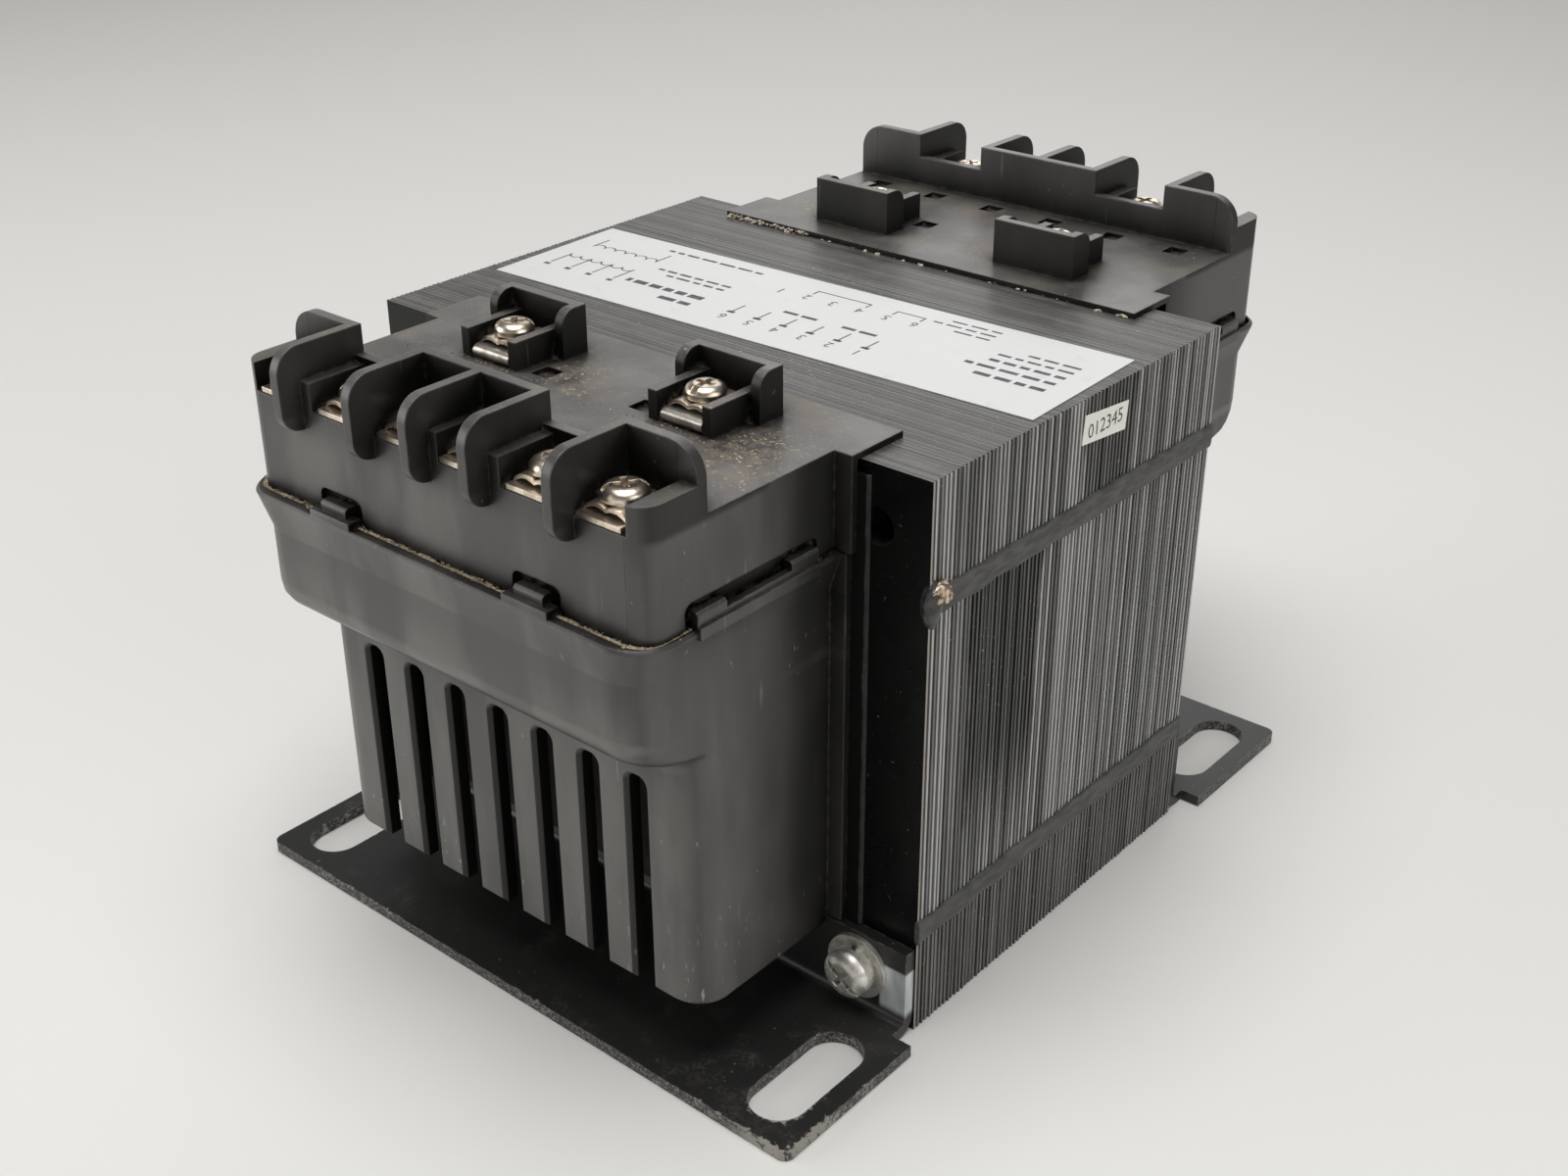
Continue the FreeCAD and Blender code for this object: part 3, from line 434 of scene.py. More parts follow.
def moulding_line(finish, seam):
    """A thin dark upright line on the front wall, at this distance to both sides."""
    near = (abs(abs(finish.place.part("X")) - seam) / MM).rise(0.16, 0.05)
    front = finish.normal.part("Y").rise(-0.7, -0.95)
    return near * front * finish.noise(0.3, stretch=(0, 0, 1)).rise(0.35, 0.55)


print("plastic layers ready")


# %% The plastic itself
def moulded_plastic(name, dusty_places, seam=None):
    finish = Finish(name, Specular_IOR_Level=0.6)
    clouds = finish.noise(0.03, detail=4)
    grain = finish.noise(3.0, detail=2)
    up = finish.normal.part("Z")
    height = finish.place.part("Z") / MM
    colour = finish.blend(clouds.rise(0.35, 0.65), (0.030, 0.029, 0.0275), (0.046, 0.0445, 0.042))
    # Painted sheen: faces turned to the light are drawn paler grey.
    colour = finish.blend(painted_sheen(finish, height, up), colour, (0.140, 0.134, 0.126))
    scratches = finish.noise(0.9, detail=1, stretch=(1, 1, 0.05)).rise(0.70, 0.76)
    scratches = scratches * finish.noise(0.08).rise(0.5, 0.62)
    nicks = finish.noise(1.1, detail=2, stretch=(1, 1, 0.5)).rise(0.72, 0.75)
    nicks = nicks * finish.noise(0.06).rise(0.48, 0.6)
    low_nicks = finish.noise(0.9, detail=2, stretch=(1, 1, 0.3)).rise(0.67, 0.71) * height.rise(38.0, 14.0)
    colour = finish.blend((scratches * 0.4).most(nicks * 0.8).most(low_nicks), colour, (0.33, 0.325, 0.315))
    # Paler rounded edges: partly rubbed wear, partly a painted highlight along the edges.
    worn = finish.edges(0.5 * MM).rise(0.02, 0.22) * finish.noise(0.5, detail=3).rise(0.36, 0.60)
    colour = finish.blend(worn * 0.55, colour, (0.25, 0.24, 0.225))

    upward = up.rise(0.5, 0.9)
    thicker = near_places(finish, dusty_places)
    settled = upward * finish.noise(0.07, detail=5).rise(0.44, 0.72) * 0.30
    film = settled.most(thicker * finish.noise(0.4, detail=4).rise(0.35, 0.7) * upward * 0.6)
    specks = upward * finish.noise(1.5, detail=2).rise(0.60, 0.68) * (0.20 + thicker * 0.8)
    crevices = finish.corners(2.2 * MM).rise(0.42, 0.85) * finish.noise(0.6, detail=4).rise(0.40, 0.62)
    colour = finish.blend(film, colour, dust_brown)
    colour = finish.blend(specks.least(1.0), colour, dust_pale)
    colour = finish.blend(crevices * 0.8, colour, dust_brown)
    dust = film.most(specks).most(crevices * 0.8)
    if seam:
        colour = finish.blend(moulding_line(finish, seam) * 0.85, colour, (0.012, 0.011, 0.010))

    finish.feed(Base_Color=colour, Roughness=0.30 + clouds * 0.14 + dust * 0.35 + scratches * 0.2)
    finish.bump(grain + scratches * 2.0, 0.02 * MM, 0.5, edge=0.55 * MM)
    finish.shade(unlit_share(finish, height, up) * 0.95 * (1 - crevices * 0.7))
    return finish.material


seam_x = 44.2 * MM
plastics = {
    "coil_cover": moulded_plastic("moulded_plastic_cover", dusty_on_cover),
    "terminal_block": moulded_plastic("moulded_plastic_block", dusty_on_block, seam_x),
}
print("plastics:", [plastic.name for plastic in plastics.values()])

# %% [markdown]
# A moulded part has no knife edges: each edge is rounded by a few tenths of a millimetre and catches a thin
# line of light. The solids have sharp edges, so a copy of each is merged, and a Bevel modifier rounds the
# edges that turn sharply. A shader could fake it, but the exported meshes would stay sharp. The covers'
# flat walls are first freed of needless edges, because the Bevel tears thin triangles between the vents.

# %% Rounded copies of the mouldings
edge_radius = 0.25 * MM
sharp_turn = math.radians(38)


def rounded_copy(node, finish):
    """A copy of a frame node with its sharp edges rounded, which stands for that node."""
    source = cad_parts[node]
    piece = bpy.data.objects.new("rounded_" + node, source.data.copy())
    bpy.context.scene.collection.objects.link(piece)
    only(piece)
    bpy.ops.object.mode_set(mode="EDIT")
    bpy.ops.mesh.select_all(action="SELECT")
    bpy.ops.mesh.remove_doubles(threshold=0.002 * MM)
    if "cover" in node:
        bpy.ops.mesh.dissolve_limited(angle_limit=math.radians(0.5))
    bpy.ops.object.mode_set(mode="OBJECT")
    modify(piece, "BEVEL", width=edge_radius, segments=2, limit_method="ANGLE", angle_limit=sharp_turn,
           use_clamp_overlap=True, miter_outer="MITER_ARC", harden_normals=False)
    only(piece)
    bpy.ops.object.shade_smooth_by_angle(angle=sharp_turn)
    modify(piece, "WEIGHTED_NORMAL", keep_sharp=True)
    dress(piece, finish)
    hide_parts(node)
    print(piece.name, len(piece.data.polygons), "faces")


for end in ("front", "rear"):
    for kind, plastic in plastics.items():
        rounded_copy(end + "_" + kind, plastic)

# %% [markdown]
# ## Foot paint
# The feet are black painted steel. Paint chips first along edges, so the chips are placed by the distance to
# the plate's outline and to the slots, roughened by noise. The front right corner was handled most, and on
# the upright flange beside it the paint is gone from a patch of zinc.

# %% Foot paint
foot_low, foot_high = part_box("front_foot")
foot_half_length = foot_high.x
foot_tip = -foot_low.y
slot_centre = Vector((61.0, 69.9)) * MM
slot_half_width = 5.55 * MM
slot_half_run = 13.1 * MM - slot_half_width
handled_corner = (69.0, -84.0)


def zinc_patch(finish, across, along, up):
    """One on the bare patch of the front right flange's end."""
    patch = (across / MM).rise(60.2, 60.9) * (up / MM).rise(3.5, 5.5) * (1 - (up / MM).rise(13.5, 14.2))
    patch = patch * finish.place.part("X").rise(0.0, 0.001) * (1 - (along / MM).rise(49.0, 49.5))
    return patch * finish.place.part("Y").rise(0.0, -0.001)


def foot_paint():
    finish = Finish("foot_paint")
    across, along, up = (abs(finish.place.part("X")), abs(finish.place.part("Y")), finish.place.part("Z"))
    rim = (foot_half_length - across).least(foot_tip - along)
    past = (abs(along - slot_centre.y) - slot_half_run).most(0.0)
    beside = across - slot_centre.x
    slot_edge = (beside * beside + past * past).math("SQRT") - slot_half_width
    edge = rim.least(abs(slot_edge))
    ragged = finish.noise(0.8, detail=5, roughness=0.7)
    handled = finish.distance_from(*handled_corner).rise(16.0, 5.0)
    chips = (edge / MM + ragged * 5.0 - handled * 0.6).rise(2.35, 2.05)
    chips = chips * finish.noise(0.09).rise(0.42, 0.58).most(handled)
    specks = finish.noise(1.1, detail=2).rise(0.735, 0.76) * 0.6
    cut_edge = (edge / MM).rise(0.5, 0.1) * (1 - abs(finish.normal.part("Z")).rise(0.3, 0.9))
    speckle = cut_edge * finish.noise(1.9, detail=4, roughness=0.75).rise(0.50, 0.62) * 0.75
    worn = finish.edges(0.5 * MM).rise(0.03, 0.25) * finish.noise(0.5, detail=4).rise(0.42, 0.6) * 0.6
    bare = chips.most(specks).most(speckle).most(worn)
    patch = zinc_patch(finish, across, along, up)
    dust = finish.normal.part("Z").rise(0.5, 0.9) * finish.noise(0.15, detail=5).rise(0.5, 0.8) * 0.25
    dust = dust * finish.noise(1.2, detail=3).rise(0.40, 0.60)
    colour = finish.blend(bare, (0.016, 0.0155, 0.015), (0.36, 0.34, 0.31))
    colour = finish.blend(dust, colour, (0.16, 0.15, 0.135))
    milky = finish.noise(0.25, detail=4, stretch=(1, 1, 0.4)).rise(0.35, 0.65)
    colour = finish.blend(patch, colour, finish.blend(milky, (0.50, 0.54, 0.55), (0.78, 0.82, 0.83)))
    finish.feed(Base_Color=colour, Roughness=0.30 + ragged * 0.15 + bare * 0.2 + dust * 0.4,
                Metallic=(bare * 0.6).most(patch * 0.35))
    finish.bump(finish.noise(1.6, detail=3) - bare * 1.5, 0.03 * MM, 0.6)
    return finish.material


painted_steel = foot_paint()
for end in ("front", "rear"):
    rounded_copy(end + "_foot", painted_steel)

# %% [markdown]
# ## The core, sheet by sheet
# The core is some 150 thin steel sheets. Every second one stands back by a quarter of a millimetre and is
# painted darker as painted shade, which gives the sides their fine dark and light lines. Bump alone would
# leave the silhouette straight, so the sheets are modelled: one E sheet and one I sheet are cut from a box
# with Boolean modifiers, repeated by an Array modifier, and then each sheet is nudged.

# %% Sizes of the core, read from the frame
core_low, core_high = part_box("core_e_stack")
top_low, top_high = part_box("core_i_stack")
window = (core_high.x - core_low.x) / 6
depth = core_high.y - core_low.y
sheet_pitch = 0.587 * MM
sheet_count = round(depth / sheet_pitch)
sheet_pitch = depth / sheet_count
sheet_thickness = sheet_pitch * 0.86
set_back = 0.24 * MM
hole_radius = 3.55 * MM
hole_x = core_high.x - window / 2
print(sheet_count, "sheets of", round(sheet_thickness / MM, 3), "mm")


# %% One sheet and its stack
def cut_away(piece, cutter):
    """Boolean difference, after which the cutter is deleted."""
    modify(piece, "BOOLEAN", operation="DIFFERENCE", object=cutter, solver="EXACT")
    bpy.data.objects.remove(cutter)


def sheet_stack(name, low_z, high_z, hole_z, windows, seed, spread):
    """A stack of equal sheets, each nudged a little, with two holes through all of them."""
    first = core_low.y + (sheet_pitch - sheet_thickness) / 2
    inset = set_back / core_high.x
    sheet = box_piece(name, (core_low.x, first, low_z), (core_high.x, first + sheet_thickness, high_z))
    for left in windows:
        window_low = (left, first - MM, low_z + window)
        window_high = (left + window, first + MM, high_z + MM)
        cut_away(sheet, box_piece("cutter", window_low, window_high))
    for x in (-hole_x, hole_x):
        hole_ends = (x, first - MM, hole_z), (x, first + MM, hole_z)
        cut_away(sheet, rod_piece("cutter", hole_radius, *hole_ends, 20))
    corners = len(sheet.data.vertices)
    modify(sheet, "ARRAY", count=sheet_count, use_relative_offset=False, use_constant_offset=True,
           constant_offset_displace=(0, sheet_pitch, 0))
    chance = random.Random(seed)
    for index in range(sheet_count):
        inner = 0 < index < sheet_count - 1
        narrowing = inset * (index % 2) if inner else 0
        loose = spread if inner else 0
        shift = Vector((chance.uniform(-loose, loose), 0, -chance.uniform(0, 0.5) * loose))
        for vertex in sheet.data.vertices[index * corners:(index + 1) * corners]:
            vertex.co.x *= 1 - narrowing
            vertex.co += shift
    print(name, len(sheet.data.polygons), "faces")
    return sheet


looseness = 0.09 * MM
e_sheets = sheet_stack("core_e_sheets", core_low.z, core_high.z, core_low.z + window / 2,
                       (-2 * window, window), 11, looseness)
i_sheets = sheet_stack("core_i_sheets", top_low.z, top_high.z, top_high.z - window / 2, (), 12, looseness)

# %% [markdown]
# The sheets' edges are bare grey steel under thin varnish, each sheet a little lighter or darker than its
# neighbour, so the tone is drawn once for each sheet's number. Every second sheet, standing back, is drawn
# darker as painted shade in the gaps, and the insides of the four holes are drawn nearly black as painted
# shade. Varnish stained two dark zones and coats the lowest part. The two end faces are flat and carry a
# thick glossy black coat with a few specks in it.

# %% Stains and painted hole shade on the sheets' edges
soot = (0.006, 0.006, 0.006)
hole_shade_tone = (0.004, 0.004, 0.004)


def varnish_stains(finish, along, height):
    """One in the wide stain below the joint and in the small one above it, places in millimetres."""
    wander = finish.noise(0.05, detail=3) * 6
    wide = abs(along + 19.5 + wander).rise(10.8, 9.6)
    wide = wide * (1 - height.rise(86.0, 88.5)) * height.rise(22.0, 55.0)
    small = abs(along - 11.0 + wander).rise(9.0, 8.0) * height.rise(90.0, 92.0)
    return wide.most(small * 0.85)


def painted_hole_shade(finish, height):
    """One inside the four holes that go through all the sheets, which are drawn nearly black as painted
    shade.
    """
    aside = abs(finish.place.part("X")) / MM - hole_x / MM
    middle = (top_high.z + core_low.z) / 2 / MM
    reach = (top_high.z - core_low.z - window) / 2 / MM
    above = abs(height - middle) - reach
    return (aside * aside + above * above).math("SQRT").rise(4.4, 3.9)


print("holes", round(hole_x / MM, 2), "mm from the middle")


# %% Lamination edges
def lamination_edges():
    finish = Finish("lamination_edges")
    index = ((finish.place.part("Y") - core_low.y) / sheet_pitch).math("FLOOR")
    own = finish.node("ShaderNodeTexWhiteNoise", {"noise_dimensions": "1D"}, {"W": index}, "Value")
    groups = finish.node("ShaderNodeTexNoise", {"noise_dimensions": "1D"},
                         {"W": index, "Scale": 0.19, "Detail": 4.0})
    streaks = finish.noise(0.35, detail=4, stretch=(0.5, 0.6, 0.12))
    deep = (index / 2).math("FRACT") * 2
    up = finish.normal.part("Z").rise(0.5, 0.9)
    tone = own * 0.50 + groups.rise(0.30, 0.70) * 0.28 + streaks * 0.35
    # Every second sheet stands back and is drawn darker, as painted shade in the gaps between the proud ones.
    proud = finish.blend(tone.rise(0.30, 0.85), (0.120, 0.119, 0.117), (0.48, 0.475, 0.465))
    sunk = finish.blend(tone.rise(0.35, 0.95), (0.008, 0.008, 0.008), (0.17, 0.168, 0.164))
    colour = finish.blend(deep, proud, sunk)
    top_tone = (own * 0.4 + streaks * 0.8).rise(0.3, 0.95)
    top = finish.blend(top_tone, (0.060, 0.058, 0.055), (0.155, 0.149, 0.138))
    colour = finish.blend(up, colour, top)
    height = finish.place.part("Z") / MM
    along = finish.place.part("Y") / MM
    stain = varnish_stains(finish, along, height)
    colour = finish.blend(stain * (0.80 + deep * 0.18) * (1 - up), colour, soot)
    # Painted shade: the insides of the four holes are drawn nearly black.
    colour = finish.blend(painted_hole_shade(finish, height) * 0.9, colour, hole_shade_tone)
    low_coat = (height + finish.noise(0.2, detail=3) * 4).rise(24.0, 21.5) * (1 - up)
    coated = finish.blend(streaks.rise(0.3, 0.7), (0.070, 0.068, 0.064), (0.125, 0.121, 0.113))
    colour = finish.blend(low_coat * 0.78, colour, coated)
    bare_corner = (along - core_low.y / MM).rise(0.75, 0.45) * (1 - up)
    bare_corner = bare_corner * finish.noise(0.3, detail=3).rise(0.3, 0.55)
    colour = finish.blend(bare_corner, colour, (0.34, 0.30, 0.25))
    flecks = finish.noise(1.6, detail=2).rise(0.68, 0.72)
    flecks = flecks * finish.noise(0.05).rise(0.45, 0.6).most(low_coat * 0.9)
    colour = finish.blend(flecks, colour, (0.42, 0.37, 0.30))
    finish.feed(Base_Color=colour, Roughness=0.30 + streaks * 0.25, Metallic=0.15 + own * 0.15)
    finish.bump(streaks, 0.04 * MM, 0.5)
    return finish.material


edge_finish = lamination_edges()
print("finish:", edge_finish.name)


# %% The varnished end faces
def end_varnish():
    finish = Finish("end_varnish", Specular_IOR_Level=0.25)
    specks = finish.noise(0.9, detail=3).rise(0.71, 0.75)
    runs = finish.noise(0.12, detail=3)
    colour = finish.blend(specks * 0.6, (0.0025, 0.0025, 0.0025), (0.16, 0.15, 0.135))
    finish.feed(Base_Color=colour, Roughness=0.16 + runs * 0.2 + specks * 0.4)
    finish.bump(runs * 2.0 + specks, 0.08 * MM, 0.7)
    return finish.material


end_finish = end_varnish()
for piece, node in ((e_sheets, "core_e_stack"), (i_sheets, "core_i_stack")):
    dress(piece, edge_finish)
    piece.data.materials.append(end_finish)
    for face in piece.data.polygons:
        outermost = abs(face.center.y) > core_high.y - sheet_pitch / 2
        face.material_index = 1 if outermost and abs(face.normal.y) > 0.9 else 0
    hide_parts(node)
    print(piece.name, "stands for", node)

# %% [markdown]
# ## Weld beads
# Each side of the core has a flat weld along the joint between the E and the I sheets, and one lower down.
# Varnish ran over both. A row of small balls would look like a chain, so a bead is a cylinder squashed flat,
# cut into many rings and made uneven by noise: its width and height wander as a hand weld's do.

# %% Bead shapes
bead_rings = 110
proud = 0.60 * MM
flatness = 0.45


def weld_bead(name, x_side, node, seed):
    """One bead along the stack, half sunk in the sheets."""
    low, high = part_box(node)
    middle_z = (low.z + high.z) / 2
    half_height = (high.z - low.z) / 2
    bead = rod_piece(name, 1.0, (0, low.y, 0), (0, high.y, 0), 20)
    bpy.ops.object.mode_set(mode="EDIT")
    bpy.ops.mesh.select_mode(type="EDGE")
    bpy.ops.mesh.select_all(action="DESELECT")
    bpy.ops.object.mode_set(mode="OBJECT")
    for edge in bead.data.edges:
        ends = [bead.data.vertices[index].co for index in edge.vertices]
        edge.select = abs(ends[0].y - ends[1].y) > depth / 2
    bpy.ops.object.mode_set(mode="EDIT")
    bpy.ops.mesh.subdivide(number_cuts=bead_rings)
    bpy.ops.object.mode_set(mode="OBJECT")
    for vertex in bead.data.vertices:
        spot = Vector((seed, vertex.co.y / (6 * MM), 0.0))
        ripple = noise.noise(Vector((seed, vertex.co.y / (1.1 * MM), vertex.co.z)))
        wander = noise.noise(spot) * 0.4 * MM
        swell = 1 + 0.14 * noise.noise(spot + Vector((5, 0, 0)))
        lift = proud * (1 + 0.25 * noise.noise(spot + Vector((9, 0, 0))) + 0.06 * ripple)
        bulge = math.copysign(abs(vertex.co.x) ** flatness, vertex.co.x)
        vertex.co.x = x_side + bulge * lift
        vertex.co.z = middle_z + wander + vertex.co.z * half_height * swell
    only(bead)
    bpy.ops.object.shade_smooth_by_angle(angle=math.radians(60))
    return bead


def bead_varnish():
    finish = Finish("bead_varnish", Specular_IOR_Level=0.3)
    strokes = finish.noise(0.5, detail=4, stretch=(1, 0.5, 2.0))
    colour = finish.blend(strokes.rise(0.35, 0.7), (0.050, 0.049, 0.048), (0.100, 0.098, 0.095))
    specks = finish.noise(1.5, detail=2).rise(0.72, 0.76)
    colour = finish.blend(specks * 0.5, colour, (0.25, 0.23, 0.20))
    finish.feed(Base_Color=colour, Roughness=0.42 + strokes * 0.2)
    finish.bump(strokes * 2.0, 0.05 * MM, 0.6)
    return finish.material


bead_finish = bead_varnish()
for node in ("upper_weld_beads", "lower_weld_beads"):
    sides = [weld_bead(node + "_side", side, node, seed)
             for side, seed in ((core_low.x, 3.1), (core_high.x, 7.7))]
    beads = joined(node.replace("_beads", "_runs"), sides)
    dress(beads, bead_finish)
    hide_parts(node)
    print(beads.name, len(beads.data.polygons), "faces")

# %% [markdown]
# ## Metals
# The terminal screws, saddles and plates are nickel plated with a warm tint and brown grime in the recesses.
# The strip terminals are satin tin, and the foot screws are dull zinc. All follow one recipe, a clean tone, a
# dull one and grime in the corners, because only their tint, gloss and wear differ.

# %% Plated metals
def plated(name, bright, dull, grime, roughness, grime_reach):
    finish = Finish(name, metallic=1.0)
    tarnish = finish.noise(0.5, detail=4)
    colour = finish.blend(tarnish.rise(0.40, 0.66), bright, dull)
    recess = finish.corners(grime_reach).rise(0.35, 0.85) * finish.noise(1.2, detail=3).rise(0.3, 0.6)
    colour = finish.blend(recess * 0.85, colour, grime)
    finish.feed(Base_Color=colour, Roughness=roughness + tarnish * 0.16 + recess * 0.4,
                Metallic=1 - recess * 0.6)
    finish.bump(finish.noise(2.2, detail=3), 0.015 * MM, 0.6, edge=0.25 * MM)
    return finish.material


nickel = plated("warm_nickel", (0.88, 0.78, 0.66), (0.62, 0.52, 0.41), (0.08, 0.05, 0.035), 0.22, 1.2 * MM)
tin = plated("satin_tin", (0.66, 0.62, 0.56), (0.42, 0.38, 0.33), (0.09, 0.07, 0.05), 0.30, 1.5 * MM)
zinc = plated("dull_zinc", (0.74, 0.72, 0.67), (0.46, 0.44, 0.40), (0.10, 0.085, 0.065), 0.40, 1.2 * MM)
print("plated:", nickel.name, tin.name, zinc.name)

# %% [markdown]
# ## Sheet goods, coil and labels
# The liner between cover and core is a varnished fibre sheet with a frayed, paler edge; painted shade darkens
# it, less at that edge. The coil is hardly seen behind the vents, but it gets its enamelled wire, its films
# and its bobbin all the same. Turns of wire are stripes of bump over the height, with a painted highlight on
# each turn's crown and painted shade between, because thousands of modelled turns would show nowhere.

# %% Liner, wire, film and label
liner_half_width = 54.95


def liner_sheet():
    finish = Finish("liner_sheet")
    frayed = finish.noise(0.7, detail=5)
    wander = finish.noise(0.12, detail=4, stretch=(0, 0, 1))
    rim = (abs(finish.place.part("X")) / MM + wander * 1.6).rise(liner_half_width - 0.4, liner_half_width)
    frayed_edge = finish.blend(frayed, (0.02, 0.02, 0.019), (0.14, 0.135, 0.12))
    colour = finish.blend(rim * 0.7, (0.005, 0.005, 0.005), frayed_edge)
    finish.feed(Base_Color=colour, Roughness=0.42 + frayed * 0.2)
    finish.bump(frayed, 0.05 * MM, 0.4)
    # Painted shade over the liner, weaker at its frayed edge.
    finish.shade(0.7 - rim * 0.5)
    return finish.material


def wound_wire(name, turns_per_mm, dark, bright, roughness):
    finish = Finish(name, metallic=0.3)
    turn = (finish.place.part("Z") / MM * turns_per_mm).math("FRACT")
    crown = 1 - abs(turn * 2 - 1)
    # Painted highlight on each turn's crown and painted shade between the turns.
    colour = finish.blend(crown.rise(0.1, 0.8), dark, bright)
    finish.feed(Base_Color=colour, Roughness=roughness + finish.noise(0.6) * 0.15)
    finish.bump(crown, 0.2 * MM, 0.8)
    return finish.material


def film(name, pale, dark, roughness):
    finish = Finish(name)
    blotches = finish.noise(0.12, detail=4)
    finish.feed(Base_Color=finish.blend(blotches.rise(0.35, 0.65), pale, dark),
                Roughness=roughness + blotches * 0.2)
    finish.bump(finish.noise(1.5), 0.02 * MM, 0.5)
    return finish.material


def label_film(name, paper):
    finish = Finish(name, Coat_Weight=0.15, Coat_Roughness=0.3)
    grime = finish.noise(0.25, detail=5).rise(0.60, 0.78) * 0.20
    specks = finish.noise(1.7, detail=1).rise(0.76, 0.79) * 0.4
    colour = finish.blend(grime.most(specks), paper, (0.34, 0.31, 0.27))
    finish.feed(Base_Color=colour, Roughness=0.36 + finish.noise(0.4) * 0.15)
    finish.bump(finish.noise(0.5, detail=2), 0.03 * MM, 0.4)
    return finish.material


print("sheet goods ready")

# %% Give every other node its finish
nickel_pieces = ("terminal_plates", "saddle_clamps", "terminal_screws", "holder_saddles", "holder_screws")
zinc_pieces = ("core_bolts", "core_bolt_nuts", "flat_washers", "spring_washers")
finishes = {
    **dict.fromkeys(nickel_pieces, nickel),
    **dict.fromkeys(zinc_pieces, zinc),
    "holder_terminals": tin,
    "core_liner": liner_sheet(),
    "lead_wires": film("lead_sleeve", (0.06, 0.06, 0.06), (0.03, 0.03, 0.03), 0.45),
    "coil_bobbin": film("bobbin_nylon", (0.20, 0.18, 0.15), (0.14, 0.12, 0.10), 0.5),
    "primary_winding": wound_wire("fine_wire", 1.1, (0.10, 0.03, 0.015), (0.50, 0.20, 0.09), 0.3),
    "secondary_winding": wound_wire("thick_wire", 0.55, (0.10, 0.03, 0.015), (0.46, 0.18, 0.08), 0.3),
    "interwinding_insulation": film("insulation_film", (0.45, 0.36, 0.20), (0.33, 0.24, 0.12), 0.35),
    "coil_outer_wrap": film("outer_wrap_film", (0.03, 0.025, 0.02), (0.018, 0.015, 0.012), 0.6),
    "rating_label": label_film("label_film", (0.62, 0.62, 0.615)),
    "side_label": label_film("sticker_film", (0.88, 0.87, 0.80)),
}
for node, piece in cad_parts.items():
    plain_name = node.replace("front_", "").replace("rear_", "")
    if plain_name in finishes:
        piece.data.materials.clear()
        piece.data.materials.append(finishes[plain_name])
print("finishes given to", len(finishes), "kinds of node")

# %% [markdown]
# ## Weld ends
# At the front right corner the weld ends in a round black drop, and a chip of bare coppery metal shows on it.
# Both are ico spheres pressed flat, because their even faces take noise well: the drop's are smoothed, and
# the chip's stay sharp and glint.

# %% Drop of varnish and bare chip
def pressed_ball(name, centre, radii, rough, seed, detail=3):
    """An ico sphere scaled to three radii, its surface pushed in and out by noise."""
    bpy.ops.mesh.primitive_ico_sphere_add(subdivisions=detail, radius=1)
    ball = bpy.context.object
    ball.name = name
    for vertex in ball.data.vertices:
        push = 1 + rough * noise.noise(vertex.co * 1.7 + Vector((seed, 0, 0)))
        stretched = [value * radius * push for value, radius in zip(vertex.co, radii)]
        vertex.co = Vector(stretched) + Vector(centre)
    return ball


def bare_chip():
    finish = Finish("bare_chip", metallic=0.85)
    facets = finish.noise(1.3, detail=3)
    colour = finish.blend(facets.rise(0.40, 0.62), (0.20, 0.12, 0.075), (0.74, 0.62, 0.50))
    finish.feed(Base_Color=colour, Roughness=0.28 + facets * 0.3)
    finish.bump(facets, 0.25 * MM, 1.0)
    return finish.material


joint_z = core_high.z
drop = pressed_ball("weld_drop", (core_high.x - 0.2 * MM, core_low.y + 0.9 * MM, joint_z - 0.2 * MM),
                    (1.7 * MM, 2.0 * MM, 4.4 * MM), 0.10, 4.0, 4)
only(drop)
bpy.ops.object.shade_smooth()
drop_finish = Finish("varnish_drop", roughness=0.22)
drop_finish.feed(Base_Color=drop_finish.blend(drop_finish.noise(0.5).rise(0.4, 0.6),
                                              (0.022, 0.022, 0.023), (0.06, 0.06, 0.06)))
drop_finish.bump(drop_finish.noise(0.7, detail=3), 0.1 * MM, 0.6)
dress(drop, drop_finish.material)
chip = pressed_ball("weld_chip", (core_high.x + 0.7 * MM, core_low.y + 2.4 * MM, joint_z + 1.7 * MM),
                    (1.3 * MM, 2.5 * MM, 2.3 * MM), 0.35, 9.0, 3)
dress(chip, bare_chip())
print("weld end:", drop.name, chip.name)

# %% [markdown]
# ## Print on the labels
# The print is generic: plain numbers, bars that stand for lines of writing, and a winding drawn as a row of
# half rings. It is thin mesh and no picture, so it stays sharp from close by. The top label is read from the
# rear of the transformer, so everything is laid out upright and then turned by half a turn.

# %% Pens for the label
label_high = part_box("rating_label")[1]
label_turn = math.radians(180 + 2.1)
print_height = 0.02 * MM


def mark(left, low, right, high):
    """A printed box between two corners, in millimetres from the label's middle."""
    return box_piece("mark", (left * MM, low * MM, 0), (right * MM, high * MM, print_height))


def bar(along, up, length, width):
    """A level bar that starts at along, with up at half its width."""
    return mark(along, up - width / 2, along + length, up + width / 2)


def upright_bar(along, up, height, width):
    """An upright bar that stands at up, with along at half its width."""
    return mark(along - width / 2, up, along + width / 2, up + height)


def words(along, up, length, width, seed):
    """A line of writing as bars with gaps, like words seen from afar."""
    chance = random.Random(seed)
    gap, shortest = 0.9, 0.6
    end, row = along + length, []
    while along < end - shortest:
        word = min(chance.uniform(1.6, 4.2), end - along)
        row.append(bar(along, up, word, width))
        along += word + gap
    return row


